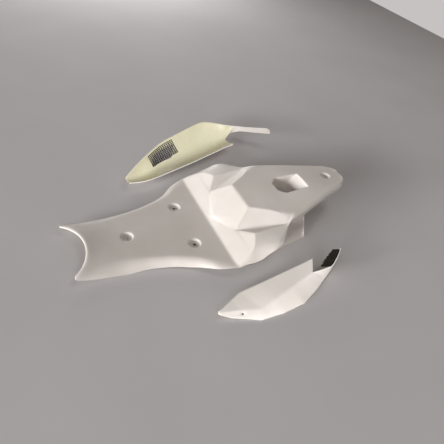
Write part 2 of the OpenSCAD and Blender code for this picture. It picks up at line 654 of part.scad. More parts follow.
// Puts the seat bolt's dish floor at the origin
module from_bolt() {
    translate([0, 0, dish_depth]) children();
}

// Lays a panel on the floor beside the seat moulding
module left_place() {
    from_bolt() translate([left_x, -left_y, floor_z - left_rest_share * panel_wall])
        rotate(left_turn) children();
}
module right_place() {
    from_bolt() translate([right_x, right_y, floor_z - right_rest_share * panel_wall])
        rotate(right_turn) children();
}

module left_side_panel() {
    point = function (u, s) left_point(u, s);
    tab = point(screw_shares[0], screw_shares[1]);
    out = -square_to(point, screw_shares[0], screw_shares[1], left_notch);
    color("ivory") left_place() difference() {
        sheet(
            [for (u = left_stations) [for (j = [2 * half_cols:-1:0]) left_point(u, cols[j])]],
            [for (u = left_stations) [for (j = [2 * half_cols:-1:0])
                -square_to(point, u, cols[j], left_notch)]],
            panel_wall,
            function (i, j) i < left_notch || j < half_cols);
        translate(tab) rotate([0, acos(out[2]), atan2(out[1], out[0])])
            cylinder(h = 2 * screw_d, d = screw_d, center = true, $fn = screw_sides);
    }
}

module right_side_panel() {
    point = function (u, s) right_point(u, s);
    color("cornsilk") right_place()
        sheet(
            [for (u = right_stations) [for (s = cols) right_point(u, s)]],
            [for (u = right_stations) [for (s = cols) square_to(point, u, s, right_notch)]],
            panel_wall,
            function (i, j)
                let (u = right_stations[i], s = cols[min(j, 2 * half_cols)], w = right_window_shares)
                (i < 2 * right_notch || j >= half_cols)
                && !(u >= w[0] && u < w[1] && s >= w[2] && s < w[3]));
}

// A point of the right panel's faceted face, between the four grid points round it
function right_face(u, s) =
    let (
        i = floor(2 * u) / 2, j = floor(2 * half_cols * s) / (2 * half_cols),
        a = 2 * (u - i), b = 2 * half_cols * (s - j), k = 1 / (2 * half_cols)
    )
    mix(mix(right_point(i, j), right_point(i + 0.5, j), a),
        mix(right_point(i, j + k), right_point(i + 0.5, j + k), a), b);

module left_panel_mesh() {
    m = len(left_reach_shares) - 1;
    point = function (u, s) left_point(u, s);
    rim = function (u)
        left_point(u, 0.5) + (panel_wall + glue_gap) * square_to(point, u, 0.5, left_notch);
    face = function (a, b)
        let (
            u = mix(left_reach_shares[0][0], left_reach_shares[m][0], a),
            w = left_w * straight(left_reach_shares, u)
        )
        rim(u) + b * w * [-cos(left_reach_turn), sin(left_reach_turn), 0];
    color("darkslategray") left_place()
        sheet(
            [for (a = lattice(left_holes[0])) [for (b = lattice(left_holes[1])) face(a, b)]],
            [for (a = lattice(left_holes[0])) [for (b = lattice(left_holes[1]))
                square_to(face, a, b, 1)]],
            mesh_wall,
            function (i, j) i % 2 == 0 || j % 2 == 0);
}

module right_panel_mesh() {
    c = right_patch_shares;
    face = function (a, b)
        let (q = mix(mix(c[0], c[3], a), mix(c[1], c[2], a), 1 - b)) right_face(q[0], q[1]);
    rows = lattice(right_holes[0]);
    reaches = lattice(right_holes[1]);
    leans = [for (a = rows) [for (b = reaches) square_to(face, a, b, 1)]];
    color("darkslategray") right_place()
        sheet(
            [for (i = [0:len(rows) - 1]) [for (j = [0:len(reaches) - 1])
                face(rows[i], reaches[j]) + (glue_gap + mesh_wall) * leans[i][j]]],
            leans,
            mesh_wall,
            function (i, j) i % 2 == 0 || j % 2 == 0);
}

seat_shell();
left_side_panel();
right_side_panel();
left_panel_mesh();
right_panel_mesh();
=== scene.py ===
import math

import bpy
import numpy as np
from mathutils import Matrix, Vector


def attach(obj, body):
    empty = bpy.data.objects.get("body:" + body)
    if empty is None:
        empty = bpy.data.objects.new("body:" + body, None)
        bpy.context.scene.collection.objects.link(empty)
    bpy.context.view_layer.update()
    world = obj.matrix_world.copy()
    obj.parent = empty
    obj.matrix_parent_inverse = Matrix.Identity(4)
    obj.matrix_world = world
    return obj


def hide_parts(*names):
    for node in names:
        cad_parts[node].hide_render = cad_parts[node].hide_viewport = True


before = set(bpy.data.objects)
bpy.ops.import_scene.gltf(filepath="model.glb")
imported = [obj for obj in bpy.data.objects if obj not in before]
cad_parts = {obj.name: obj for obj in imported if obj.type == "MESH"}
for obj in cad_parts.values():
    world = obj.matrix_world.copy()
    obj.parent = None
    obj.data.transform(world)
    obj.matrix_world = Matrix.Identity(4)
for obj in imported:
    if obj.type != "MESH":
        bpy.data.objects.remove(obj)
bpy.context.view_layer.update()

# %% [markdown]
# # A glass-fibre racing seat unit
#
# The real unit is three mouldings and two patches of mesh, as they come from the workshop: a seat moulding
# with its pan, hump and ducted tail, and two side panels. Each is a laminate of glass fibre about 3 mm
# thick with a smooth off-white gelcoat on the side that lay in the mould and bare fibre on the other.
#
# The loaded frame holds them as faceted solids. Here each one becomes a fine grid that follows the same
# lines, so its creases get the small round edge that gelcoat needs, and each side gets its own finish.

MM = 0.001

# %% [markdown]
# ## Reading a line of the moulding
#
# The mould was built from lines drawn in plan and height: the edge of the pan, the crest, the grooves. Each
# is a short table of places, and a lookup between them is straight or smooth. The smooth one is a cubic
# Hermite curve, whose slope at a place is the slope between its two neighbours.

# %% Straight and smooth lookups


def mix(a, b, s):
    """a plus the share s of the way to b."""
    return a + (b - a) * s


def ramp(a, b, x):
    """How far x has come from a to b: 0 before a, 1 after b."""
    return np.clip((x - a) / (b - a), 0, 1)


def hermite(p, q, m, n, s):
    """Cubic from p to q with the slopes m and n: p(1+2s)(1-s)^2 + q s^2(3-2s) + m s(1-s)^2 - n s^2(1-s)."""
    return (p * (1 + 2 * s) * (1 - s) ** 2 + q * s * s * (3 - 2 * s)
            + m * s * (1 - s) ** 2 - n * s * s * (1 - s))


def straight(table, x, k=1):
    """Column k of a table at x, with straight stretches between its rows."""
    rows = np.array(table, float)
    return np.interp(x, rows[:, 0], rows[:, k])


def smooth(table, x, k=1):
    """Column k of a table at x, with a Hermite curve between its rows."""
    rows = np.array(table, float)
    at, value = rows[:, 0], rows[:, k]
    count = np.arange(len(at))
    before, after = np.maximum(count - 1, 0), np.minimum(count + 1, len(at) - 1)
    slope = (value[after] - value[before]) / (at[after] - at[before])
    i = np.clip(np.searchsorted(at, x, side="right") - 1, 0, len(at) - 2)
    width = at[i + 1] - at[i]
    s = np.clip((x - at[i]) / width, 0, 1)
    return hermite(value[i], value[i + 1], slope[i] * width, slope[i + 1] * width, s)


def line_at(table, x):
    """Half width and height of a line of the mould at x: columns 1 and 2 of its table, straight."""
    return np.stack([straight(table, x), straight(table, x, 2)], -1)


# %% [markdown]
# ## The sizes of the seat moulding
#
# These are the sizes of the real unit in millimetres, the same as the frame's. x runs from the front seat
# bolt to the tail, y to the far side, and heights count from the surface of the pan, which lies one dish
# depth above the origin.

# %% Driving sizes, in mm
wall, cut_round = 3, 0.35     # the laminate, and how far its cut edge bulges
bolt_pitch, bolt_span, tail_bolt_x = 145, 135, 562     # back to the rear pair, across it, to the tail bolt
bolt_d, tail_bolt_d = 8, 7
dish_d, dish_floor_d, dish_depth, tail_dish_d = 30, 21, 5, 26
lip_run, lip_drop = 4, 1.8     # the front edge is sanded over
front_reach, front_r, horn_half, waist_half, hip_half = 97, 102, 80, 94, 173     # plan of the pan
edge_drop, front_rise, kink_x = 22, 5, 210     # the pan's edge and front in height, and its rear end
pad_x, groove_x, groove_half, crest_x, crest_half, crest_h = 223, 250, 76, 291, 46, 61
bevel_w, bevel_h, brow_x, brow_half, brow_h = 5, 4, 275, 116, 41     # beside the pad, beside the groove
pod_half, pod_x, pod_end_half, pod_end_h = 179, 330, 168, 38
neck_x, neck_half, neck_h, tail_x, tail_half, tail_h = 370, 120, 48, 612, 58, 73
return_h, wall_x, wall_rake, wall_half, wall_end = 10, 419, 24, 116, 4     # below the outer edge
flange_w, flange_h, edge_in, edge_rise = 7, 4, 7, 3.5     # along the wall's foot, along the tail's edge
duct_x, duct_l, duct_half, duct_h = 398, 85, 31, 34     # front of the mouth, its size, and the depth
hair = 0.6     # lines that would meet are kept this far apart
foot_lean = 45     # degrees that the laminate leans at its foot, whose back edge stands on the floor
floor_z = dish_depth - edge_drop - wall * math.cos(math.radians(foot_lean))
print("the pieces rest on a floor at", round(floor_z, 1), "mm")

# %% The lines in plan and height


def placed(start, end, half, height, shares):
    """Rows of a line, from shares of the way from start to end, of a half width and of a height."""
    return [(mix(start, end, a), half * b, height * c) for a, b, c in shares]


pan_l = front_reach + kink_x
horn_shares = [(0, 0, .09), (.015, .5, .30), (.03, .62, .40), (.055, .72, .55), (.104, .86, .73),
               (.17, .94, .90)]
pan_edge_shares = [(.25, 0, 1), (.40, .03, .91), (.54, .14, .86), (.61, .23, .82), (.68, .34, .82),
                   (.75, .47, .70), (.81, .63, .50), (.87, .80, .27), (.94, .91, .09), (1, 1, -.05)]
pan_spans = [(horn_half, waist_half, horn_shares), (waist_half, hip_half, pan_edge_shares)]
pan_edge = [(s * pan_l - front_reach, mix(a, b, w), -d * edge_drop)
            for a, b, shares in pan_spans for s, w, d in shares]
flat_shares = [(0, .72), (.08, .64), (.2, .66), (.42, .77), (.63, .81), (.9, .82), (1, .86)]
front_share, roll_angle = .25, math.radians(68)     # hollowed share of the pan; how far its sides roll
circle_share = .98     # share of the front circle's radius at which its hollow stops growing
level_share = .1     # the pan is level from this share of its front reach backwards


def front_z(x):
    """Height of the hump's sloping front at x."""
    return brow_h / (brow_x - kink_x) * (x - kink_x)


pad_run = math.hypot(groove_x - pad_x, groove_half)
foot_x = pad_x - bevel_w * pad_run / groove_half
foot_end_x = groove_x - bevel_w * groove_half / pad_run
foot_end_half = groove_half + bevel_w * (groove_x - pad_x) / pad_run
groove_h = front_z(groove_x) - bevel_h / 2
tail_start_share = .058
tail_start_x = mix(neck_x, tail_x, tail_start_share)
shoulders = [(mix(crest_x, neck_x, a), mix(crest_half, neck_half, b), crest_h * c)
             for a, b, c in ((.62, .37, 1.03), (.94, .62, 1.018), (1, .68, 1.023))]
pod_shares = [(.23, .989, .16), (.34, .994, .24), (.49, 1, .38), (.64, .985, .63), (.79, .977, .87)]
pod_edge = [(kink_x, hip_half, edge_drop * .05), *placed(kink_x, pod_x, pod_half, pod_end_h, pod_shares),
            (pod_x, pod_end_half, pod_end_h)]
tail_shares = [(tail_start_share, 1.96, .79), (.2, 1.8, .82), (.33, 1.62, .855), (.51, 1.35, .895),
               (.69, 1.07, .925), (.89, .8, .94), (.93, .71, .94), (.965, .58, .945), (.985, .46, .95),
               (1, .34, .955)]
tail_edge = placed(neck_x, tail_x, tail_half, tail_h, tail_shares)
spine = ([(crest_x, crest_h), (mix(crest_x, neck_x, .68), tail_h * .905)]
         + [(mix(neck_x, tail_x, a), tail_h * b)
            for a, b in ((0, .93), (.19, .96), (.48, 1.013), (.8, 1), (1, .986))])
end_reach = [(tail_x + a * return_h, b * return_h)
             for a, b in ((0, 0), (.15, .15), (.24, .42), (.27, .85))]
foot = placed(kink_x, wall_x, wall_half, -edge_drop,
              ((0, 1.49, -.05), (.115, 1.478, .1), (.195, 1.414, .55), (.39, 1.31, .82), (.6, 1.19, 1),
               (1, 1, 1)))

# %% The creases of the hump
spine_front = [(kink_x, 0), (foot_x, front_z(foot_x)), (pad_x, front_z(pad_x) + bevel_h),
               (crest_x, crest_h)]
pad_line = [(kink_x, hip_half * .25, 0), (foot_x, hair, front_z(foot_x)),
            (pad_x, 2 * hair, front_z(pad_x) + bevel_h), (groove_x, groove_half, front_z(groove_x)),
            (crest_x, crest_half, crest_h), *shoulders]
pad_foot = [(kink_x, hip_half * .38, 0), (foot_x, 2 * hair, front_z(foot_x)),
            (foot_end_x, foot_end_half, front_z(foot_end_x)), (groove_x, groove_half + 2 * hair, groove_h),
            (brow_x, mix(groove_half, crest_half, .6) + bevel_w, mix(groove_h, crest_h, .52)),
            (crest_x, crest_half + bevel_w, crest_h - bevel_h),
            *[(x, y + 4 * hair, z - 2 * hair) for x, y, z in shoulders]]
valley = [(kink_x, hip_half * .5, 0), (foot_end_x, foot_end_half + 2 * hair, front_z(foot_end_x)),
          (groove_x, groove_half + 4 * hair, groove_h), (neck_x, neck_half - 4 * hair, neck_h + hair)]
ridge = [(kink_x, hip_half * .63, 0), (foot_end_x, foot_end_half + 4 * hair, front_z(foot_end_x)),
         (groove_x, groove_half + 7 * hair, groove_h + hair), (brow_x, brow_half, brow_h),
         (neck_x, neck_half - 3 * hair, neck_h + hair)]
crease = ([(kink_x, hip_half * .78, 0)]
          + [(mix(kink_x, brow_x, a), brow_half * b, front_z(mix(kink_x, brow_x, a)))
             for a, b in ((.09, 1.42), (.4, 1.38), (.6, 1.345), (.8, 1.276), (.89, 1.155))]
          + [(brow_x, brow_half + 2 * hair, brow_h), (neck_x, neck_half - 2 * hair, neck_h + hair)])

# %% [markdown]
# ## A half section
#
# Cut the moulding across at any x and the near half of the cut is fourteen named points: from the centre
# line over the pad, its bevel, the groove, the ridge and the crease, down the pod to the outer edge, the
# side wall and its flange. Everything below works on all the cuts at once, as arrays of (cut, point).

# %% The outer edge, the top and the side of every cut


def outer(x):
    """The outer edge at x, as half width and height: pan, pod, neck and tail follow each other."""
    zones = [x <= kink_x, x <= pod_x, x <= neck_x, x <= tail_start_x]
    pod, neck = (0, pod_end_half, pod_end_h), (0, neck_half, neck_h)
    return np.stack([np.select(zones, [
        smooth(pan_edge, x, k), smooth(pod_edge, x, k), mix(pod[k], neck[k], ramp(pod_x, neck_x, x)),
        mix(neck[k], tail_edge[0][k], ramp(neck_x, tail_start_x, x))], smooth(tail_edge, x, k))
        for k in (1, 2)], -1)


def pan_z(x):
    """Height of the pan on its centre line: it rises by the square of the way to the front."""
    return front_rise * (1 - ramp(-front_reach, -front_reach * level_share, x)) ** 2


def pan_flat(x):
    """Half width of the pan's flat part, a share of the half width that changes along it."""
    return outer(x)[:, 0] * smooth(flat_shares, (x + front_reach) / pan_l)


def pan_top(x):
    """Points 0 to 6 on the pan: evenly spaced, and falling with the square of their place."""
    j = np.arange(7)
    return np.stack([pan_flat(x)[:, None] * j / 7, pan_z(x)[:, None] * (1 - (j / 8) ** 2)], -1)


def hump_top(x):
    """Points 0 to 6 on the hump: the spine, a point half way, and the five lines beside it."""
    mid = np.where(x <= crest_x, straight(spine_front, x), smooth(spine, x))
    lines = [line_at(table, x) for table in (pad_line, pad_foot, valley, ridge, crease)]
    pad = lines[0]
    first = [np.stack([0 * mid, mid], -1), np.stack([pad[:, 0] / 2, mix(mid, pad[:, 1], .25)], -1)]
    return np.stack(first + lines, 1)


def tail_height(x, y):
    """Height of the tail top: it falls from the spine to the edge with the square of y."""
    edge = outer(x)
    s = np.abs(y) / (edge[..., 0] - edge_in)
    return mix(smooth(spine, x), edge[..., 1] + edge_rise, s * s)


tail_places = np.array([0, .5, .92, .94, .96, .98, 1])


def tail_top(x):
    """Points 0 to 6 on the tail, most of them close to its edge."""
    x = x[:, None]
    y = (outer(x)[..., 0] - edge_in) * tail_places
    return np.stack([y, tail_height(x, y)], -1)


def top(x):
    """Points 0 to 6 of every cut: the pan's, the hump's or the tail's."""
    at = x[:, None, None]
    return np.where(at <= kink_x, pan_top(x), np.where(at <= neck_x, hump_top(x), tail_top(x)))


roll = roll_angle * np.arange(7) / 6     # the arc runs out with the sine and down with the cosine
roll_way = np.stack([np.sin(roll) / math.sin(roll_angle),
                     (1 - np.cos(roll)) / (1 - math.cos(roll_angle))], -1)
roll_start = .12     # point 7 behind the kink, as a share of the way from the crease to the edge


def pan_side(x):
    """Points 7 to 13 on the pan: an arc from the end of the flat part out and down to the edge."""
    start = np.stack([pan_flat(x), pan_z(x) * (1 - (7 / 8) ** 2)], -1)
    return mix(start[:, None], outer(x)[:, None], roll_way)


def wall_foot(x):
    """Foot of the side wall, which runs up to the tail's return behind the wall's end."""
    edge, s = outer(x), ramp(wall_x, wall_x + wall_end, x)
    rear = np.stack([mix(wall_half, edge[:, 0] + hair, s), mix(-edge_drop, edge[:, 1] - return_h, s)], -1)
    return np.where((x <= wall_x)[:, None], line_at(foot, x), rear)


fold_start_x, fold_end, fold_share = 262, (318, 160, 41), (.65, .06, .5)


def pod_fold(x, crease_point, edge):
    """Point 8 of each cut, where the pod folds over: straight lines in plan and height.

    Up to the fold's start it is a share of the way from the crease to the edge, and the share falls. From
    there it runs to the fold's end, and then to the neck. The shares are those at the kink, at the start
    and at the neck.
    """
    share = mix(fold_share[0], fold_share[1], ramp(kink_x, fold_start_x, x))
    before = mix(crease_point, edge, share[:, None])
    ends = np.array([float(fold_start_x), float(neck_x)])
    c, e = top(ends)[:, 6], outer(ends)
    start, last = mix(c[0], e[0], fold_share[1]), mix(c[1], e[1], fold_share[2])
    line = [(fold_start_x, *start), fold_end, (neck_x, *last)]
    return np.where((x <= fold_start_x)[:, None], before, line_at(line, x))


def body_side(x):
    """Points 7 to 13 behind the kink: the pod's two facets, the outer edge, the wall, its flange."""
    c, edge, low = top(x)[:, 6], outer(x), wall_foot(x)
    m = (ramp(kink_x, groove_x, x) * (1 - ramp(wall_x, wall_x + wall_end, x)))[:, None]
    heel = low + m * [-flange_w, flange_h] + [0, hair]
    fold = np.where((x <= neck_x)[:, None], pod_fold(x, c, edge), mix(c, edge, .5))
    pod = [mix(c, fold, .5), fold, mix(fold, edge, .5)]
    return np.stack(pod + [edge, mix(edge, heel, .5), heel, low], 1)


def side(x):
    """Points 7 to 13 of every cut; the pan's roll turns into pod and wall behind the kink."""
    like_pan = mix(top(x)[:, 6:7], outer(x)[:, None], mix(roll_start, 1, roll_way))
    m = np.sqrt(ramp(kink_x, groove_x, x))[:, None, None]
    return np.where(x[:, None, None] <= kink_x, pan_side(x), mix(like_pan, body_side(x), m))


# %% The whole half section in space, and the way its thickness leans
pan_lean = np.radians([0, 0, 0, 0, 0, 0, 0, 4, 12, 22, 32, 42, 52, 60])
body_lean = np.radians([0, 0, 0, 0, 0, 0, 0, 8, 16, 28, 52, 84, 60, foot_lean])
end_lean, end_tuck = math.radians(80), .22     # the tail's end leans back and draws in by that share


def rake(x):
    """How far the wall's foot lies behind its top: all at the wall's end, then fading out."""
    rear = wall_rake * return_h / (tail_h + edge_drop) * (
        1 - ramp(wall_x + wall_end, wall_x + 2 * wall_rake, x))
    return np.where(x <= wall_x, wall_rake * ramp(neck_x, wall_x, x), rear)


def half_section(x):
    """Points 0 to 13 of every cut in space.

    The front is hollowed by a circle and its lip is sanded over; the tail's end draws in and rolls down.
    """
    within = np.minimum(x, tail_x)
    s = np.concatenate([top(within), side(within)], 1)
    j = np.arange(14)
    low, edge = s[:, 13:, 1], s[:, 10:11, 1]
    fall = straight(end_reach, x)[:, None]
    y = s[..., 0] * (1 - end_tuck * ramp(tail_x, end_reach[-1][0], x)[:, None])
    z = np.where(j <= 10, s[..., 1] - fall, mix(low, s[..., 1], 1 - fall / (edge - low)))
    z = z - lip_drop * (1 - ramp(0, lip_run, x + front_reach)[:, None]) ** 2
    hollow = front_r - np.sqrt(front_r ** 2 - np.minimum(y, front_r * circle_share) ** 2)
    forward = (1 - ramp(0, front_share, (x + front_reach) / pan_l)) ** 2
    back = np.where(j > 10, rake(x)[:, None] * (edge - z) / (edge - low), 0)
    return np.stack([x[:, None] - hollow * forward[:, None] + back, y, z + dish_depth], -1)


def half_lean(x):
    """Direction from the back of the laminate to its front at each point, of length 1."""
    m = np.sqrt(ramp(kink_x, groove_x, x))[:, None]
    a = mix(pan_lean, body_lean, m)
    b = end_lean * ramp(tail_x, end_reach[-1][0], x)[:, None]
    return np.stack([np.sin(b) * np.cos(a), np.sin(a), np.cos(b) * np.cos(a)], -1)


# %% [markdown]
# ## From named points to a fine grid
#
# The named points carry the creases, and between them the grid gets enough columns that a cell is about
# 3 mm wide. Then every point moves a few times towards the mean of its neighbours. That leaves flat faces
# flat and gives each crease a round edge of a few millimetres, which is what a gelcoated mould has.

# %% Columns, rows, both halves and softened creases
grid_pitch = 3.1
span_columns = [8, 8, 3, 7, 6, 6, 4, 4, 4, 4, 6, 6, 2]
soft_rounds, pod_rounds, top_rounds, neck_rounds = 3, 6, 120, 16
top_start, top_end = crest_x + 9, 450     # behind the end the tail's top is left as it is
neck_run, neck_inner, neck_outer = 14, 4, 3     # mm fore and aft, and columns to either side


def more_columns(points, counts):
    """Splits each span between two named points into its count of equal steps."""
    place = np.concatenate([[0], np.cumsum(counts)])
    fine = np.arange(place[-1] + 1)
    at = np.interp(fine, place, np.arange(len(place)))
    i = np.minimum(at.astype(int), len(counts) - 1)
    return mix(points[:, i], points[:, i + 1], (at - i)[:, None])


def both_halves(half):
    """Mirrors a half section, so the columns run from the near edge to the far one."""
    return np.concatenate([half[:, :0:-1] * [1, -1, 1], half], 1)


def rows_between(places, pitch):
    """All the places, with equal steps of at most the pitch between them."""
    steps = [np.linspace(a, b, max(1, math.ceil((b - a) / pitch)), endpoint=False)
             for a, b in zip(places, places[1:])]
    return np.concatenate(steps + [[places[-1]]])


def soften(grid, rounds, weight=.5):
    """Moves each inner point by the weight towards the mean of its four neighbours, and again."""
    grid = grid.copy()
    for _ in range(rounds):
        mean = (grid[:-2, 1:-1] + grid[2:, 1:-1] + grid[1:-1, :-2] + grid[1:-1, 2:]) / 4
        grid[1:-1, 1:-1] += weight * (mean - grid[1:-1, 1:-1])
    return grid


def straight_rows(points, x, spans):
    """Makes every row inside a span the straight blend of the rows at the span's two ends."""
    points = points.copy()
    for a, b in spans:
        inside = (x > a + 1e-6) & (x < b - 1e-6)
        s = ((x[inside] - a) / (b - a))[:, None, None]
        points[inside] = mix(points[np.argmin(np.abs(x - a))], points[np.argmin(np.abs(x - b))], s)
    return points


steps = [(neck_x, tail_start_x), (wall_x, wall_x + wall_end)]
key_rows = [*(lip_run * share - front_reach for share in (0, .3, .65, 1)), kink_x, foot_x, pad_x,
            foot_end_x, groove_x, brow_x, crest_x, pod_x, neck_x, tail_start_x, wall_x, wall_x + wall_end,
            tail_x]
stations = np.concatenate([rows_between(key_rows, grid_pitch)[:-1],
                           rows_between([r[0] for r in end_reach], .3 * grid_pitch)])
half = straight_rows(half_section(stations), stations, steps)
shell_grid = both_halves(more_columns(half, span_columns))
shell_lean = both_halves(more_columns(half_lean(stations), span_columns))
shell_grid = soften(shell_grid, soft_rounds)


def on_both_sides(first, last):
    """Slices of the columns from first to last, counted from the middle, on the far and the near side."""
    middle = shell_grid.shape[1] // 2
    return slice(middle + first, middle + last + 1), slice(middle - last, middle - first + 1)


def soften_part(rows, columns, rounds, keep=0):
    """Softens a part of the grid; keep is the share of the old place that a row goes back to."""
    part = shell_grid[rows, columns]
    shell_grid[rows, columns] = mix(soften(part, rounds), part, keep)


top_column, crease_column, edge_column = (sum(span_columns[:k]) for k in (2, 6, 10))
pod_rows = np.flatnonzero((stations > foot_x) & (stations < pod_x))
for columns in on_both_sides(crease_column + 1, edge_column):
    soften_part(slice(pod_rows[0], pod_rows[-1]), columns, pod_rounds)
rows = slice(*np.searchsorted(stations, (top_start, top_end)))
fade = ramp(tail_start_x, top_end, stations[rows])[:, None, None]
fade = fade * fade * (3 - 2 * fade)     # eased at both ends
soften_part(rows, on_both_sides(1 - top_column, top_column - 1)[0], top_rounds, fade)
rows = slice(*np.searchsorted(stations, (neck_x - neck_run, tail_start_x + neck_run)))
for columns in on_both_sides(top_column - 1 - neck_inner, edge_column + neck_outer):
    soften_part(rows, columns, neck_rounds)
shell_lean /= np.linalg.norm(shell_lean, axis=-1, keepdims=True)
print("seat moulding: grid of", shell_grid.shape[:2], "points")

# %% [markdown]
# ## Dishes and the duct
#
# Each bolt sits in a round dish, and the duct is a six-sided funnel through the tail. A square grid can't
# follow a circle, so a block of cells is left out round each of them. Rings of points fill the block: the
# first ring lies on the block's edge, the next ones run in over the rim, down and through the hole, and
# the last ones come back underneath to the same block of the laminate's back.

# %% Rings round a hole


def loop_of(block):
    """Row and column numbers round a block of the grid, once round, starting at its low corner."""
    i0, i1, j0, j1 = block
    up, down = (np.arange(i0, i1), np.arange(j0, j1)), (np.arange(i1, i0, -1), np.arange(j1, j0, -1))
    i = np.concatenate([np.full(j1 - j0, i0), up[0], np.full(j1 - j0, i1), down[0]])
    j = np.concatenate([up[1], np.full(i1 - i0, j1), down[1], np.full(i1 - i0, j0)])
    return i, j


def block_round(grid, centre, reach_x, reach_y):
    """The smallest block whose rows and columns clear the given reach round a centre."""
    along = np.abs(grid[:, grid.shape[1] // 2, 0] - centre[0])
    i = np.flatnonzero(along <= reach_x)
    j = np.flatnonzero(np.abs(grid[np.argmin(along), :, 1] - centre[1]) <= reach_y)
    return i[0], i[-1], j[0], j[-1]


def unit(v):
    """Vectors of length 1."""
    return v / np.maximum(np.linalg.norm(v, axis=-1, keepdims=True), 1e-9)


def hole_rings(grid, block, centre, out, profile):
    """Rings round an axis that points out of the sheet; the profile is their (radius, drop)."""
    across = unit(np.cross(out, [0, 1, 0]))
    along = np.cross(out, across)
    offset = grid[loop_of(block)] - centre
    angle = np.arctan2(offset @ along, offset @ across)
    circle = np.cos(angle)[:, None] * across + np.sin(angle)[:, None] * along
    return np.array([centre + radius * circle - drop * out for radius, drop in profile])


def dish_profile(rim, floor, hole):
    """Rows of (radius, drop) from a dish's rim down its cone, through its hole and back up below."""
    return [(rim + 2.5, 0), (rim + .9, .12), (rim, .5), (mix(rim, floor, .25), dish_depth * .3),
            (mix(rim, floor, .75), dish_depth * .78), (floor + .2, dish_depth * .97),
            (floor - 1.5, dish_depth), (hole + .5, dish_depth), (hole, dish_depth + .4),
            (hole, dish_depth + wall - .4), (hole + .5, dish_depth + wall),
            (floor, dish_depth + wall), (floor + wall, dish_depth + wall * .6),
            (rim + wall * .6, wall * 1.3), (rim + wall, wall)]


block_share = .78     # reach of a dish's block, as a share of its rim
dish_strips, duct_strips, screw_strips = (8, 3), (13, 2), (1, 3)     # between rings: of front, of cut edge
upright = np.array([0, 0, 1])
patches = []
for x, y, rim_d, hole_d in ((0, 0, dish_d, bolt_d), (bolt_pitch, -bolt_span / 2, dish_d, bolt_d),
                            (bolt_pitch, bolt_span / 2, dish_d, bolt_d),
                            (tail_bolt_x, 0, tail_dish_d, tail_bolt_d)):
    block = block_round(shell_grid, (x, y), rim_d * block_share, rim_d * block_share)
    profile = dish_profile(rim_d / 2, (rim_d - dish_d + dish_floor_d) / 2, hole_d / 2)
    rings = hole_rings(shell_grid, block, np.array([x, y, dish_depth]), upright, profile)
    if x > neck_x:
        rings[..., 2] += tail_height(rings[..., 0], rings[..., 1])     # the pan's dishes are on a level
    patches.append((block, rings, *dish_strips))
print("blocks of the four dishes:", [tuple(int(v) for v in patch[0]) for patch in patches])

# %% Rings down the duct
duct_middle = np.array([duct_x + duct_l * .35, 0])
mouth = duct_half * np.array([.49, 1, .93, -.93, -1, -.49])
mouth = np.stack([duct_x + duct_l * np.array([0, .2, 1, 1, .2, 0]), mouth], -1)
duct_foot = np.stack([duct_x + duct_l * np.array([.04, .16, .54, .54, .16, .04]),
                      duct_half * np.array([.45, .85, .72, -.72, -.85, -.45])], -1)


def rounded_outline(corners, grow, angle, power=26):
    """Outline of a convex polygon seen from its middle along each angle.

    A straight side at distance d whose normal points at a is d / cos(angle - a) away. The smallest of
    these is the outline; a high power mean of them rounds its corners.
    """
    middle = duct_middle
    run = np.roll(corners, -1, 0) - corners
    normal = np.stack([run[:, 1], -run[:, 0]], -1) / np.linalg.norm(run, axis=1)[:, None]
    distance = ((corners - middle) * normal).sum(1)
    normal, distance = normal * np.sign(distance)[:, None], np.abs(distance) + grow
    facing = np.maximum(np.cos(angle)[:, None] * normal[:, 0] + np.sin(angle)[:, None] * normal[:, 1], 0)
    radius = ((facing / distance) ** power).sum(1) ** (-1 / power)
    return middle + radius[:, None] * np.stack([np.cos(angle), np.sin(angle)], -1)


def duct_rings(grid, block):
    """Rings from the block's edge to the rounded lip, down the funnel and back up outside it."""
    i, j = loop_of(block)
    edge = grid[i, j]
    angle = np.arctan2(edge[:, 1] - duct_middle[1], edge[:, 0] - duct_middle[0])
    lift = edge[:, 2] - dish_depth - tail_height(edge[:, 0], edge[:, 1])
    lip = [(3.2, 0), (1.5, .2), (.5, .8), (0, 2)]
    first = rounded_outline(mouth, lip[0][0], angle)
    on_top = [(mix(edge[:, :2], first, share), 0) for share in (.34, .67)]
    on_top += [(rounded_outline(mouth, grow, angle), drop) for grow, drop in lip]
    rings = [(flat, tail_height(*flat.T) - drop + lift) for flat, drop in on_top]
    down = [(share, 0, 0) for share in np.linspace(0, 1, 7)[1:-1]]
    turn = [(1, .2, .4), (1, .8, 0), (1, wall - .5, 0), (1, wall, .6)]
    up = [(share, wall, 0) for share, *_ in down[::-1]]
    for share, grow, rise in down + turn + up:
        rings.append((rounded_outline(mix(mouth, duct_foot, share), grow, angle),
                      np.full(len(angle), tail_h - duct_h * share + rise)))
    last = rounded_outline(mouth, wall + 1.5, angle)
    rings.append((last, tail_height(*last.T) - wall))
    return np.array([np.column_stack([flat, z + dish_depth]) for flat, z in rings])


duct_clear, duct_spread = 9, 1.4     # how far the block reaches past the mouth, in mm and as a share
duct_block = block_round(shell_grid, (duct_x + duct_l / 2, 0), duct_l / 2 + duct_clear,
                         duct_half * duct_spread)
patches.append((duct_block, duct_rings(shell_grid, duct_block), *duct_strips))
print("duct: mouth", duct_l, "by", 2 * duct_half, "mm,", duct_h, "mm deep")

# %% [markdown]
# ## A laminate from a grid
#
# One function turns any grid of points into a closed sheet. The front is the grid and the back is the same
# grid moved in by the thickness. Where a cell has no neighbour, the front and the back are joined by a cut
# edge with a slight bulge, which catches the light as a trimmed and sanded laminate does.

# %% The sheet
FRONT, BACK, EDGE = 0, 1, 2
bulge_share = .2     # share of the thickness at which a cut edge bulges most


def cells_of(n_cols, there):
    """Four corner numbers of each cell that is there, anticlockwise seen from the front."""
    i, j = np.nonzero(there)
    a = i * n_cols + j
    return np.stack([a, a + n_cols, a + n_cols + 1, a + 1], -1)


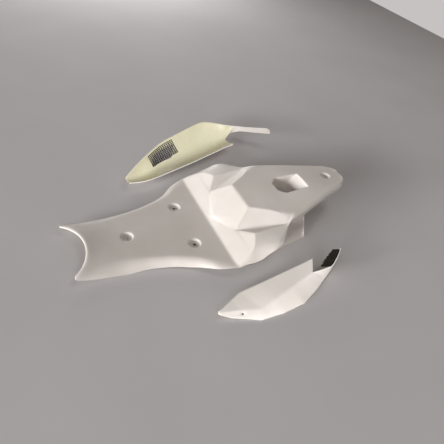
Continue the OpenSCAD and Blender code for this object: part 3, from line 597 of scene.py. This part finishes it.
def open_edges(quads):
    """Directed edges of the cells that no other cell has the other way round."""
    edges = np.concatenate([quads[:, [k, (k + 1) % 4]] for k in range(4)])
    big = quads.max() + 1
    forward, backward = edges[:, 0] * big + edges[:, 1], edges[:, 1] * big + edges[:, 0]
    return edges[~np.isin(forward, backward)]


def laminate(grid, lean, thickness, there=None, patches=()):
    """A closed sheet: vertices, quads and the finish of each quad.

    A patch is a block of cells left out, its rings, and how many strips of them are front and cut edge.
    """
    n, m = grid.shape[:2]
    there = np.ones((n - 1, m - 1), bool) if there is None else there.copy()
    held = np.zeros(n * m, bool)
    for (i0, i1, j0, j1), *_ in patches:
        there[i0:i1, j0:j1] = False
        i, j = loop_of((i0, i1, j0, j1))
        held[i * m + j] = True
    front = cells_of(m, there)
    skin, back = grid.reshape(-1, 3), (grid - thickness * lean).reshape(-1, 3)
    rim = open_edges(front)
    rim = rim[~(held[rim[:, 0]] & held[rim[:, 1]])]
    # the cut edge: two more points at each rim point, pushed out along the sheet
    used = np.unique(rim)
    number = np.full(n * m, -1)
    number[used] = np.arange(len(used))
    out = np.zeros_like(skin)
    across = np.cross(skin[rim[:, 1]] - skin[rim[:, 0]], lean.reshape(-1, 3)[rim[:, 0]])
    np.add.at(out, rim[:, 0], unit(across))
    np.add.at(out, rim[:, 1], unit(across))
    out = unit(out)[used] * cut_round
    upper = mix(skin[used], back[used], bulge_share) + out
    lower = mix(back[used], skin[used], bulge_share) + out
    verts = [skin, back, upper, lower]
    base, up, low = n * m, 2 * n * m, 2 * n * m + len(used)
    ends = rim[:, ::-1].T
    levels = [ends, up + number[ends], low + number[ends], base + ends]
    strips = [np.stack([*p, *q[::-1]], -1) for p, q in zip(levels, levels[1:])]
    quads = [front, base + front[:, ::-1], *strips]
    finish = [np.full(len(front), FRONT), np.full(len(front), BACK)]
    finish += [np.full(len(strip), EDGE) for strip in strips]
    start = low + len(used)
    for block, rings, n_front, n_edge in patches:
        i, j = loop_of(block)
        loop = i * m + j
        rows = [loop] + [start + k * len(loop) + np.arange(len(loop)) for k in range(len(rings))]
        rows.append(base + loop)
        verts.append(rings.reshape(-1, 3))
        start += rings.shape[0] * len(loop)
        for k, (p, q) in enumerate(zip(rows, rows[1:])):
            strip = np.stack([p, q, np.roll(q, -1), np.roll(p, -1)], -1)
            quads.append(strip)
            which = FRONT if k < n_front else EDGE if k < n_front + n_edge else BACK
            finish.append(np.full(len(strip), which))
    return np.concatenate(verts), np.concatenate(quads), np.concatenate(finish)


def make_piece(name, verts, quads, finish, materials, sharp=math.radians(50)):
    """Puts the arrays, in mm, into a mesh of metres and drops the points that no face uses."""
    used, flat = np.unique(quads, return_inverse=True)
    mesh = bpy.data.meshes.new(name)
    mesh.from_pydata((verts[used] * MM).tolist(), [], flat.reshape(quads.shape).tolist())
    for material in materials:
        mesh.materials.append(material)
    mesh.polygons.foreach_set("material_index", finish.astype(np.int32))
    mesh.polygons.foreach_set("use_smooth", np.ones(len(quads), bool))
    mesh.update()
    mesh.set_sharp_from_angle(angle=sharp)
    piece = bpy.data.objects.new(name, mesh)
    bpy.context.scene.collection.objects.link(piece)
    size = (verts[used].max(0) - verts[used].min(0)).round(1)
    print(name, "is", *size, "mm with", len(quads), "faces")
    return piece


# %% [markdown]
# ## Finishes
#
# Hex values are what a screen shows, and shaders need linear light, so one function converts them. Another
# adds a node, sets its inputs and links what is already made. Everything reads Object coordinates, which
# are metres here, so a pattern of a known size in millimetres gets a scale of one over that size.

# %% Colour and node helpers


def srgb(hex_value):
    """Linear RGBA of a screen colour: ((c + 0.055) / 1.055) ^ 2.4, or c / 12.92 below 0.04045."""
    c = np.array([int(hex_value[k:k + 2], 16) for k in (1, 3, 5)]) / 255
    linear = np.where(c <= .04045, c / 12.92, ((c + .055) / 1.055) ** 2.4)
    return (*linear.tolist(), 1.0)


def add_node(tree, kind, inputs=None, stops=(), **settings):
    """A shader node with its settings; an input gets a value, or a link from a socket.

    The stops are the places and hex colours of a colour ramp.
    """
    node = tree.nodes.new(kind)
    for key, value in settings.items():
        setattr(node, key, value)
    for key, value in (inputs or {}).items():
        if isinstance(value, bpy.types.NodeSocket):
            tree.links.new(value, node.inputs[key])
        else:
            node.inputs[key].default_value = value
    for k, (at, colour) in enumerate(stops):
        element = node.color_ramp.elements[k]
        element.position, element.color = at, srgb(colour)
    return node


def new_finish(name, **shader_values):
    """A material with one Principled shader, and its node tree, shader and object coordinates."""
    material = bpy.data.materials.new(name)
    material.use_nodes = True
    tree = material.node_tree
    tree.nodes.clear()
    inputs = {key.replace("_", " "): value for key, value in shader_values.items()}
    shader = add_node(tree, "ShaderNodeBsdfPrincipled", inputs)
    add_node(tree, "ShaderNodeOutputMaterial", {"Surface": shader.outputs["BSDF"]})
    coords = add_node(tree, "ShaderNodeTexCoord").outputs["Object"]
    return material, tree, shader, coords


def grained(name, size, detail, stops, bump=(), **shader_values):
    """A finish coloured by a noise of one size, in metres; bump is its relief's strength and depth."""
    material, tree, shader, coords = new_finish(name, **shader_values)
    grain = add_node(tree, "ShaderNodeTexNoise", {"Vector": coords, "Scale": 1 / size, "Detail": detail})
    colour = add_node(tree, "ShaderNodeValToRGB", {"Fac": grain.outputs["Fac"]}, stops)
    tree.links.new(colour.outputs["Color"], shader.inputs["Base Color"])
    if bump:
        relief = add_node(tree, "ShaderNodeBump", {"Height": grain.outputs["Fac"], "Strength": bump[0],
                                                   "Distance": bump[1]})
        tree.links.new(relief.outputs["Normal"], shader.inputs["Normal"])
    return material, tree, shader, coords


# %% [markdown]
# ### Polyester gelcoat
#
# Off-white polyester, sprayed into a waxed mould and released from it. It is satin rather than glossy,
# because it is left as a base for paint: soft highlights, faint clouds where the coat is thinner and the
# fibre behind it shows warm, and a very shallow orange peel.

# %% Gelcoat
CLOUD, PEEL, DUST = 90 * MM, 2.2 * MM, 14 * MM


def gelcoat():
    """Moulded polyester gelcoat."""
    material, tree, shader, coords = grained(
        "moulded_polyester_gelcoat", CLOUD, 3.0, ((.35, "#f1ebe5"), (.7, "#eae3da")),
        Roughness=.42, IOR=1.54, Specular_IOR_Level=.45)
    dust = add_node(tree, "ShaderNodeTexNoise", {"Vector": coords, "Scale": 1 / DUST, "Detail": 4.0})
    rough = add_node(tree, "ShaderNodeMapRange", {"Value": dust.outputs["Fac"], "From Min": .3,
                                                  "From Max": .7, "To Min": .36, "To Max": .5})
    tree.links.new(rough.outputs["Result"], shader.inputs["Roughness"])
    peel = add_node(tree, "ShaderNodeTexNoise", {"Vector": coords, "Scale": 1 / PEEL, "Detail": 1.0})
    bump = add_node(tree, "ShaderNodeBump", {"Height": peel.outputs["Fac"], "Strength": .12,
                                             "Distance": .05 * MM})
    tree.links.new(bump.outputs["Normal"], shader.inputs["Normal"])
    return material


# %% [markdown]
# ### Chopped strand laminate
#
# The back is polyester resin over chopped strand mat: short bundles of glass about 50 mm long that cross
# at random. Five noises, each stretched along its own direction, stand for the bundles; the brightest of
# the five wins, as the bundle on top does. Resin between them is yellower and shinier.

# %% Bare laminate
STRAND_L, STRAND_W = 26 * MM, 1.5 * MM     # real bundles are 0.5 mm wide, too fine for the render
STRAND_TURNS, BLOTCH = (8, 43, 79, 117, 152), 35 * MM


def laminate_back(name, resin, glass, pale):
    """Bare laminate with its bundles; resin, glass and pale are the hex values of its three colours."""
    material, tree, shader, coords = new_finish(name, Roughness=.4, IOR=1.55, Specular_IOR_Level=.5)
    best = None
    for k, turn in enumerate(STRAND_TURNS):
        # each noise is also tilted and moved along, so that no two are alike
        aligned = add_node(tree, "ShaderNodeMapping", {
            "Vector": coords, "Rotation": (0, .2 * k, math.radians(turn)),
            "Location": (.37 * k, .11 * k, 0)})
        stretched = add_node(tree, "ShaderNodeVectorMath", {
            0: aligned.outputs["Vector"], 1: (1 / STRAND_L, 1 / STRAND_W, 1 / STRAND_W)},
            operation="MULTIPLY")
        noise = add_node(tree, "ShaderNodeTexNoise", {"Vector": stretched.outputs["Vector"], "Scale": 1.0,
                                                      "Detail": 1.0})
        value = noise.outputs["Fac"]
        best = value if best is None else add_node(
            tree, "ShaderNodeMath", {0: best, 1: value}, operation="MAXIMUM").outputs["Value"]
    fibres = add_node(tree, "ShaderNodeValToRGB", {"Fac": best}, ((.52, resin), (.74, glass)))
    blotch = add_node(tree, "ShaderNodeTexNoise", {"Vector": coords, "Scale": 1 / BLOTCH, "Detail": 2.0})
    patch = add_node(tree, "ShaderNodeMapRange", {"Value": blotch.outputs["Fac"], "From Min": .42,
                                                  "From Max": .66, "To Min": 0.0, "To Max": .75})
    mixed = add_node(tree, "ShaderNodeMix", {0: patch.outputs["Result"], 6: fibres.outputs["Color"],
                                             7: srgb(pale)}, data_type="RGBA")
    tree.links.new(mixed.outputs[2], shader.inputs["Base Color"])
    rough = add_node(tree, "ShaderNodeMapRange", {"Value": best, "From Min": .5, "From Max": .75,
                                                  "To Min": .28, "To Max": .6})
    tree.links.new(rough.outputs["Result"], shader.inputs["Roughness"])
    bump = add_node(tree, "ShaderNodeBump", {"Height": best, "Strength": .55, "Distance": .5 * MM})
    tree.links.new(bump.outputs["Normal"], shader.inputs["Normal"])
    return material


# %% [markdown]
# ### Cut edge and coated wire
#
# A trimmed edge is sanded laminate: pale, dry and a little rough. The mesh is steel wire with a black
# powder coat, which is matt and grainy.

# %% Cut edge, coated wire and all the finishes
GRIT, COAT_GRAIN = .8 * MM, .5 * MM

gelcoat_finish = gelcoat()
under_finish = laminate_back("bare_laminate_white", "#d8d0bb", "#efeadf", "#e6e0d0")
cream_finish = laminate_back("bare_laminate_cream", "#e4deb4", "#f8f4de", "#eee9cd")
edge_finish = grained("sanded_laminate_edge", GRIT, 2.0, ((.35, "#f7f3ee"), (.65, "#efe8de")),
                      (.3, .1 * MM), Roughness=.6, IOR=1.5)[0]
wire_finish = grained("powder_coated_wire", COAT_GRAIN, 2.0, ((.35, "#100d08"), (.7, "#1f1a12")),
                      (.4, .08 * MM), Roughness=.7, IOR=1.5, Specular_IOR_Level=.2)[0]

# %% [markdown]
# ## The seat moulding
#
# The grid, the way the thickness leans and the rings of the five holes are ready, so the moulding is one
# call: gelcoat outside, bare laminate beneath, and a sanded edge all round.

# %% Seat moulding
seat = make_piece("seat_moulding", *laminate(shell_grid, shell_lean, wall, patches=patches),
                  [gelcoat_finish, under_finish, edge_finish])
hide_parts("seat_shell")
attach(seat, "root")

# %% [markdown]
# ## The side panels
#
# A side panel is given by rows across it: where its straight edge, its crease and its outer edge are, as
# shares of its length, width and height. Between rows the left panel has flat facets, and its arm is
# smooth; the right one is smooth all over. Behind the notch only the outer half of a row is left.

# %% Sizes and rows of both panels
panel_wall, mesh_wall, glue_gap = 2.4, 1.2, .3
left_size, left_place, left_turn = np.array([360, 100, 34]), (116, -262), math.radians(10)
right_size, right_place, right_turn = np.array([520, 160, 50]), (62, 204), math.radians(12)
left_rest_share, right_rest_share, screw_d = .21, -.21, 5
left_row_shares = np.array([
    [[.012, .018, .35], [.001, .002, .31], [.006, -.042, .25]],
    [[.115, .120, .35], [.133, -.177, .29], [.063, -.207, .10]],
    [[.203, .197, .41], [.248, -.388, .35], [.218, -.561, 0]],
    [[.366, .140, .59], [.351, -.379, .56], [.370, -.673, 0]],
    [[.547, .090, .76], [.497, -.348, .73], [.539, -.709, 0]],
    [[.695, .045, .91], [.629, -.308, .85], [.698, -.566, .03]],
    [[.777, .024, 1], [.696, -.291, .91], [.786, -.458, .06]],
    [[.771, -.351, .91], [.771, -.351, .91], [.853, -.378, .09]],
    [[.850, -.394, .97], [.850, -.394, .97], [.914, -.300, .24]],
    [[.906, -.330, 1.18], [.906, -.330, 1.18], [.928, -.204, .53]],
    [[.946, -.257, 1.38], [.946, -.257, 1.38], [.953, -.127, .77]],
    [[.970, -.194, 1.56], [.970, -.194, 1.56], [.979, -.067, .94]]])
right_row_shares = np.array([
    [[-.003, -.087, .48], [0, 0, .42], [.001, .061, .48]],
    [[.038, -.133, .48], [.075, .100, .14], [.087, .213, .64]],
    [[.083, -.163, .48], [.150, .160, .02], [.185, .367, .80]],
    [[.143, -.165, .50], [.235, .230, 0], [.312, .563, .88]],
    [[.212, -.150, .52], [.325, .270, 0], [.425, .647, .96]],
    [[.313, -.118, .54], [.425, .320, 0], [.525, .718, 1.02]],
    [[.431, -.076, .56], [.540, .370, .02], [.639, .779, 1.08]],
    [[.518, -.038, .58], [.612, .380, .08], [.693, .725, 1.06]],
    [[.604, -.002, .60], [.680, .380, .14], [.741, .643, 1]],
    [[.668, .028, .62], [.720, .390, .20], [.781, .550, .96]],
    [[.732, .056, .64], [.760, .400, .28], [.818, .484, .92]],
    [[.805, .455, .40], [.805, .455, .40], [.846, .439, .90]],
    [[.836, .430, .50], [.836, .430, .50], [.871, .376, .92]],
    [[.861, .347, .64], [.861, .347, .64], [.894, .278, 1]],
    [[.913, .166, .76], [.913, .166, .76], [.929, .132, 1.12]],
    [[.963, -.018, .88], [.963, -.018, .88], [.970, -.022, 1.24]],
    [[.988, -.105, .96], [.988, -.105, .96], [.982, -.085, 1.14]]])
left_notch, right_notch, screw_at = 6, 10, (1.24, .74)     # notches' rows; screw's row and place across
swell_share, swell_way = .12, np.array([0, -.3, 1])     # the left panel's lower facet bulges out and up
left_rounds, right_rounds, panel_sharp = 4, 2, math.radians(60)
left_step, left_columns, right_step, right_columns = .085, 37, .1, 49     # of the fine grids, in u and s
slack = .01     # less than a step, so that rounding can't move the edge of a notch or of the window
left_lay, right_lay = (left_place, left_turn, left_rest_share), (right_place, right_turn, right_rest_share)

# %% Points of the panels


def glide(rows, u):
    """A row between rows by Hermite curves, whose slopes are half the step between the neighbours."""
    last = len(rows) - 1
    i = np.minimum(np.floor(u).astype(int), last - 1)
    s = (u - i)[..., None, None]
    before, after = rows[np.maximum(i - 1, 0)], rows[np.minimum(i + 2, last)]
    return hermite(rows[i], rows[i + 1], (rows[i + 1] - before) / 2, (after - rows[i]) / 2, s)


def plain(rows, u):
    """A row between rows, straight."""
    i = np.minimum(np.floor(u).astype(int), len(rows) - 2)
    return mix(rows[i], rows[i + 1], (u - i)[..., None, None])


def left_point(u, s):
    """The left panel's outside in its own frame.

    u counts rows, and s runs from the straight edge over the crease at a half to the outer edge.
    """
    u, s = np.broadcast_arrays(np.asarray(u, float), np.asarray(s, float))
    soft = (u > left_notch)[..., None, None]
    rows = np.where(soft, glide(left_row_shares, u), plain(left_row_shares, u))
    q = 2 * s - 1
    swell = np.where((u > left_notch) | (q > 1), 0, swell_share * q * (1 - q) * ramp(1, 2, u))
    inner = mix(rows[..., 0, :], rows[..., 1, :], (2 * s)[..., None])
    lower = mix(rows[..., 1, :], rows[..., 2, :], q[..., None]) + swell[..., None] * swell_way
    return np.where((s < .5)[..., None], inner, lower) * left_size + [0, 0, panel_wall]


def right_point(u, s):
    """The right panel's upper side, which is its inside: a parabola through its three lines."""
    u, s = np.broadcast_arrays(np.asarray(u, float), np.asarray(s, float))
    rows = glide(right_row_shares, u)
    a, k, e = rows[..., 0, :], rows[..., 1, :], rows[..., 2, :]
    t = s[..., None]
    bowl = a * (1 - t) * (1 - 2 * t) + k * 4 * t * (1 - t) + e * t * (2 * t - 1)
    arm = mix(k, e, 2 * t - 1)
    shares = mix(bowl, arm, ramp(right_notch, right_notch + .5, u)[..., None])
    return shares * right_size + [0, 0, panel_wall]


def square_to(point, u, s, seam, nudge=.02):
    """Direction square to a surface: the cross product of its two slopes."""
    ahead = np.where(u > seam, u, np.minimum(u + nudge, seam))
    along = point(ahead, s) - point(np.maximum(u - nudge, 0), s)
    return unit(np.cross(along, point(u, s + nudge) - point(u, s - nudge)))


def laid(points, place, turn, rest_share):
    """Turns a panel's points about the upright and lays them on the floor."""
    c, s = math.cos(turn), math.sin(turn)
    x, y, z = np.moveaxis(points, -1, 0)
    return np.stack([place[0] + x * c - y * s, place[1] + x * s + y * c,
                     z + floor_z - rest_share * panel_wall], -1)


def turned(vectors, turn):
    """Turns directions about the upright."""
    return laid(vectors, (0, 0), turn, 0) - [0, 0, floor_z]


# %% The left panel, with the screw hole in its tab
left_u = rows_between(range(len(left_row_shares)), left_step)
left_s = np.linspace(1, 0, left_columns)
u, s = np.meshgrid(left_u, left_s, indexing="ij")
left_grid = soften(laid(left_point(u, s), *left_lay), left_rounds)
left_lean = turned(-square_to(left_point, u, s, left_notch), left_turn)
there = (left_u[:-1, None] < left_notch - slack) | (left_s[None, :-1] > .5 + slack)
screw_reach, screw_r, bevel, depth = 1.3 * screw_d, screw_d / 2, .5, .35
screw_profile = [(screw_r + bevel, 0), (screw_r, depth), (screw_r, panel_wall - depth),
                 (screw_r + bevel, panel_wall)]
screw_centre = laid(left_point(*screw_at), *left_lay)
screw_out = turned(-square_to(left_point, np.array(screw_at[0]), np.array(screw_at[1]), left_notch),
                   left_turn)
near_screw = np.linalg.norm(left_grid - screw_centre, axis=-1) < screw_reach
i_near, j_near = np.nonzero(near_screw)
screw_block = (i_near.min(), i_near.max() + 1, j_near.min(), j_near.max() + 1)
screw_rings = hole_rings(left_grid, screw_block, screw_centre, screw_out, screw_profile)
left_panel = make_piece("left_panel", *laminate(left_grid, left_lean, panel_wall, there,
                                                [(screw_block, screw_rings, *screw_strips)]),
                        [gelcoat_finish, cream_finish, edge_finish], panel_sharp)
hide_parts("left_side_panel")
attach(left_panel, "root")

# %% The right panel, inside up, with its window
right_window = (2.5, 4, .625, .875)     # from and to, by row and then across
right_arm_u = 11.5     # from this row on the arm is folded over and its gelcoat is up
right_u = rows_between(range(len(right_row_shares)), right_step)
right_s = np.linspace(0, 1, right_columns)
u, s = np.meshgrid(right_u, right_s, indexing="ij")
right_grid = soften(laid(right_point(u, s), *right_lay), right_rounds)
right_lean = turned(square_to(right_point, u, s, right_notch), right_turn)
low_u, low_s = right_u[:-1, None] + slack, right_s[None, :-1] + slack
window = ((low_u > right_window[0]) & (low_u < right_window[1]) & (low_s > right_window[2])
          & (low_s < right_window[3]))
there = ((low_u < right_notch) | (low_s > .5)) & ~window
verts, quads, finish = laminate(right_grid, right_lean, panel_wall, there)
place = right_grid[right_u >= right_arm_u][0].mean(0)
along = np.array([math.cos(right_turn), math.sin(right_turn)])
on_arm = (verts[quads][:, :, :2].mean(1) - place[:2]) @ along > 0
finish[on_arm & (finish == FRONT)] = BACK
right_panel = make_piece("right_panel", verts, quads, finish,
                         [cream_finish, gelcoat_finish, edge_finish], panel_sharp)
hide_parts("right_side_panel")
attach(right_panel, "root")

# %% [markdown]
# ## The mesh patches
#
# Each patch is a woven sheet: straight runs of wire in two directions that pass over and under each other.
# A wire is a round tube along a path on the panel's surface, and the weave is a cosine along its length.

# %% Woven wires
hole_share, left_hole_share = .64, .3     # the left patch is seen aslant and reads as nearly closed
wave_share, wire_share = .22, .3     # shares of the mesh's thickness: height of the wave, half of a wire
golden = .618     # its multiples, less their whole parts, spread evenly and don't repeat


def tubes(paths, radii, sides=8):
    """Closed round tubes along many paths at once; the array of paths is (wire, place, 3)."""
    run = unit(np.gradient(paths, axis=1))
    across = unit(np.cross([0, 0, 1], run))
    up = np.cross(run, across)
    angle = np.arange(sides) * 2 * math.pi / sides
    ring = (np.cos(angle)[:, None] * across[..., None, :] * radii[0]
            + np.sin(angle)[:, None] * up[..., None, :] * radii[1])
    verts = paths[..., None, :] + ring
    wires, places = paths.shape[:2]
    number = np.arange(verts[..., 0].size).reshape(wires, places, sides)
    quads = np.stack([number[:, :-1], np.roll(number[:, :-1], -1, 2), np.roll(number[:, 1:], -1, 2),
                      number[:, 1:]], -1).reshape(-1, 4)
    caps = []     # three quads close each end of an eight-sided tube
    for end, turn in ((0, -1), (-1, 1)):
        face = number[:, end, ::turn]
        caps += [face[:, [0, 1, 2, 3]], face[:, [0, 3, 4, 7]], face[:, [4, 5, 6, 7]]]
    return verts.reshape(-1, 3), np.concatenate([quads, *caps])


def woven(name, face, holes, open_share, node, length, width, ragged=0):
    """A patch of wires over face(a, b), with its count of holes each way and their share of the pitch.

    Length and width are the patch's, in mm. A ragged patch has wires that stick out past b = 1 by up to
    that share, each by its own amount.
    """
    strand, fine = 1 - open_share, 6     # a wire's share of the pitch, and places along each hole
    all_verts, all_quads, start = [], [], 0
    for flip, (count, other, size) in enumerate(((*holes, length), (*holes[::-1], width))):
        wire = np.arange(count + 1)
        a, b = np.meshgrid((wire + strand / 2) / (count + strand),
                           np.linspace(0, 1, fine * (other + 1) + 1), indexing="ij")
        if not flip:
            b = b * (1 + ragged * (wire * golden % 1)[:, None])
        first = (2 * flip - 1) * (1 - 2 * (wire % 2))     # over or under, in turn
        wave = np.cos(math.pi * (b * (other + strand) - strand / 2)) * first[:, None]
        points = face(b, a) if flip else face(a, b)
        points = points + wave[..., None] * [0, 0, mesh_wall * wave_share]
        radius = strand / 2 * size / (count + strand)
        verts, quads = tubes(points, (radius, mesh_wall * wire_share))
        all_verts.append(verts)
        all_quads.append(quads + start)
        start += len(verts)
    verts, quads = np.concatenate(all_verts), np.concatenate(all_quads)
    piece = make_piece(name, verts, quads, np.zeros(len(quads)), [wire_finish])
    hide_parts(node)
    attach(piece, "root")
    return piece


left_reach = [(7.8, .24), (8, .26), (9, .28), (10.8, .17)]     # row, and reach as a share of the width
left_reach_turn = math.radians(25)


def left_mesh_face(a, b):
    """Runs forward from the arm's upper edge into the notch, level and turned away from the seat."""
    u = mix(left_reach[0][0], left_reach[-1][0], a)
    out = square_to(left_point, u, np.full_like(u, .5), left_notch)
    rim = left_point(u, .5) + (panel_wall + glue_gap) * out
    reach = b * left_size[1] * straight(left_reach, u)
    points = rim + reach[..., None] * [-math.cos(left_reach_turn), math.sin(left_reach_turn), 0]
    return laid(points, *left_lay)


right_patch = np.array([[2.03, .955], [2.55, .6], [4.5, .68], [3.74, .965]])


def right_mesh_face(a, b):
    """Lies on the inside of the right panel, between four corners given by row and reach."""
    c = right_patch
    q = mix(mix(c[0], c[3], a[..., None]), mix(c[1], c[2], a[..., None]), 1 - b[..., None])
    u, s = q[..., 0], q[..., 1]
    points = right_point(u, s) + (glue_gap + mesh_wall / 2) * square_to(right_point, u, s, right_notch)
    return laid(points, *right_lay)


left_mesh = woven("left_mesh", left_mesh_face, (11, 5), left_hole_share, "left_panel_mesh",
                  length=60, width=30, ragged=.16)
right_mesh = woven("right_mesh", right_mesh_face, (13, 9), hole_share, "right_panel_mesh",
                   length=100, width=70)

# %% [markdown]
# ## Floor, light and camera
#
# The unit lies on a plain pale floor. Soft light comes mostly from the front and a little from the near
# side, which makes the sloping front bright and leaves the pan in half shade. Each side panel has a softbox
# of its own, because the mouldings were each lit by themselves. The camera stands where the photograph was
# taken from.

# %% Floor
floor_size, MOTTLE = 4.8, 350 * MM
floor_finish = grained("matt_floor_paint", MOTTLE, 3.0, ((.3, "#e3e0e1"), (.7, "#e8e5e6")),
                       Roughness=.9, IOR=1.45, Specular_IOR_Level=.1)[0]
corner = floor_size / 2
mesh = bpy.data.meshes.new("floor")
mesh.from_pydata([(x * corner, y * corner, floor_z * MM) for x, y in ((-1, -1), (1, -1), (1, 1), (-1, 1))],
                 [], [(0, 1, 2, 3)])
mesh.materials.append(floor_finish)
floor = bpy.data.objects.new("floor", mesh)
bpy.context.scene.collection.objects.link(floor)

# %% Lights
aim = Vector((.24, 0, .02))


def softbox(name, direction, size, power, distance=2.6, only=()):
    """An area light, wide and high as size says, that looks at the middle of the unit.

    It lights everything, or only the objects given.
    """
    light = bpy.data.lights.new(name, "AREA")
    light.shape, light.size, light.size_y, light.energy = "RECTANGLE", size[0], size[1], power
    lamp = bpy.data.objects.new(name, light)
    lamp.location = aim + Vector(direction).normalized() * distance
    lamp.rotation_euler = (aim - lamp.location).to_track_quat("-Z", "Y").to_euler()
    bpy.context.scene.collection.objects.link(lamp)
    if only:
        lit = bpy.data.collections.new(name)
        for piece in only:
            lit.objects.link(piece)
        lamp.light_linking.receiver_collection = lit


softbox("front_softbox", (-.93, -.24, .15), (5.2, 2.1), 890, distance=8,
        only=(seat, left_panel, left_mesh, floor))
softbox("near_softbox", (-.1, -.86, .5), (1.4, 1.1), 7)
softbox("top_softbox", (.47, 0, .88), (1.1, 1.1), 7)
softbox("far_softbox", (.15, .9, .2), (1.1, .9), 13)
softbox("left_panel_softbox", (.3, -.88, .35), (1.4, 1.1), 32, only=(left_panel, left_mesh))
softbox("right_panel_softbox", (-.3, -.8, .52), (1.4, 1.1), 60, only=(right_panel, right_mesh))

# %% The studio's walls: warm and dim as light, pale where they are seen or mirrored
world = bpy.data.worlds.new("studio")
world.use_nodes = True
tree = world.node_tree
tree.nodes.clear()
path = add_node(tree, "ShaderNodeLightPath")
seen = path.outputs["Is Camera Ray"]
for ray in ("Is Glossy Ray", "Is Transmission Ray"):
    seen = add_node(tree, "ShaderNodeMath", {0: seen, 1: path.outputs[ray]},
                    operation="MAXIMUM").outputs["Value"]
dim = add_node(tree, "ShaderNodeBackground", {"Color": srgb("#ffdfbf"), "Strength": .05})
pale = add_node(tree, "ShaderNodeBackground", {"Color": srgb("#c6c2c1"), "Strength": 1.0})
walls = add_node(tree, "ShaderNodeMixShader", {"Fac": seen, 1: dim.outputs["Background"],
                                               2: pale.outputs["Background"]})
add_node(tree, "ShaderNodeOutputWorld", {"Surface": walls.outputs["Shader"]})
bpy.context.scene.world = world

# %% Camera
picture, focal_px, middle_px = 444, 430, (222, 221)
eye = Vector((-215.9, -697.6, 737.4)) * MM
azimuth, elevation, tilt = math.radians(-33.98), math.radians(41.73), math.radians(11.79)
back = Vector((math.sin(azimuth) * math.cos(elevation), -math.cos(azimuth) * math.cos(elevation),
               math.sin(elevation)))
level = Vector((math.cos(azimuth), math.sin(azimuth), 0))
over = back.cross(level)
right_way = level * math.cos(tilt) + over * math.sin(tilt)
turn = Matrix((right_way, back.cross(right_way), back)).transposed()
camera = bpy.data.objects.new("camera", bpy.data.cameras.new("camera"))
camera.data.lens = camera.data.sensor_width * focal_px / picture
camera.data.shift_x = (picture / 2 - middle_px[0]) / picture
camera.data.shift_y = (middle_px[1] - picture / 2) / picture
camera.data.clip_start, camera.data.clip_end = .05, 20
camera.matrix_world = Matrix.Translation(eye) @ turn.to_4x4()
bpy.context.scene.collection.objects.link(camera)
bpy.context.scene.camera = camera
bpy.context.scene.view_settings.view_transform = "Standard"
print("camera looks along", [round(-v, 3) for v in back])
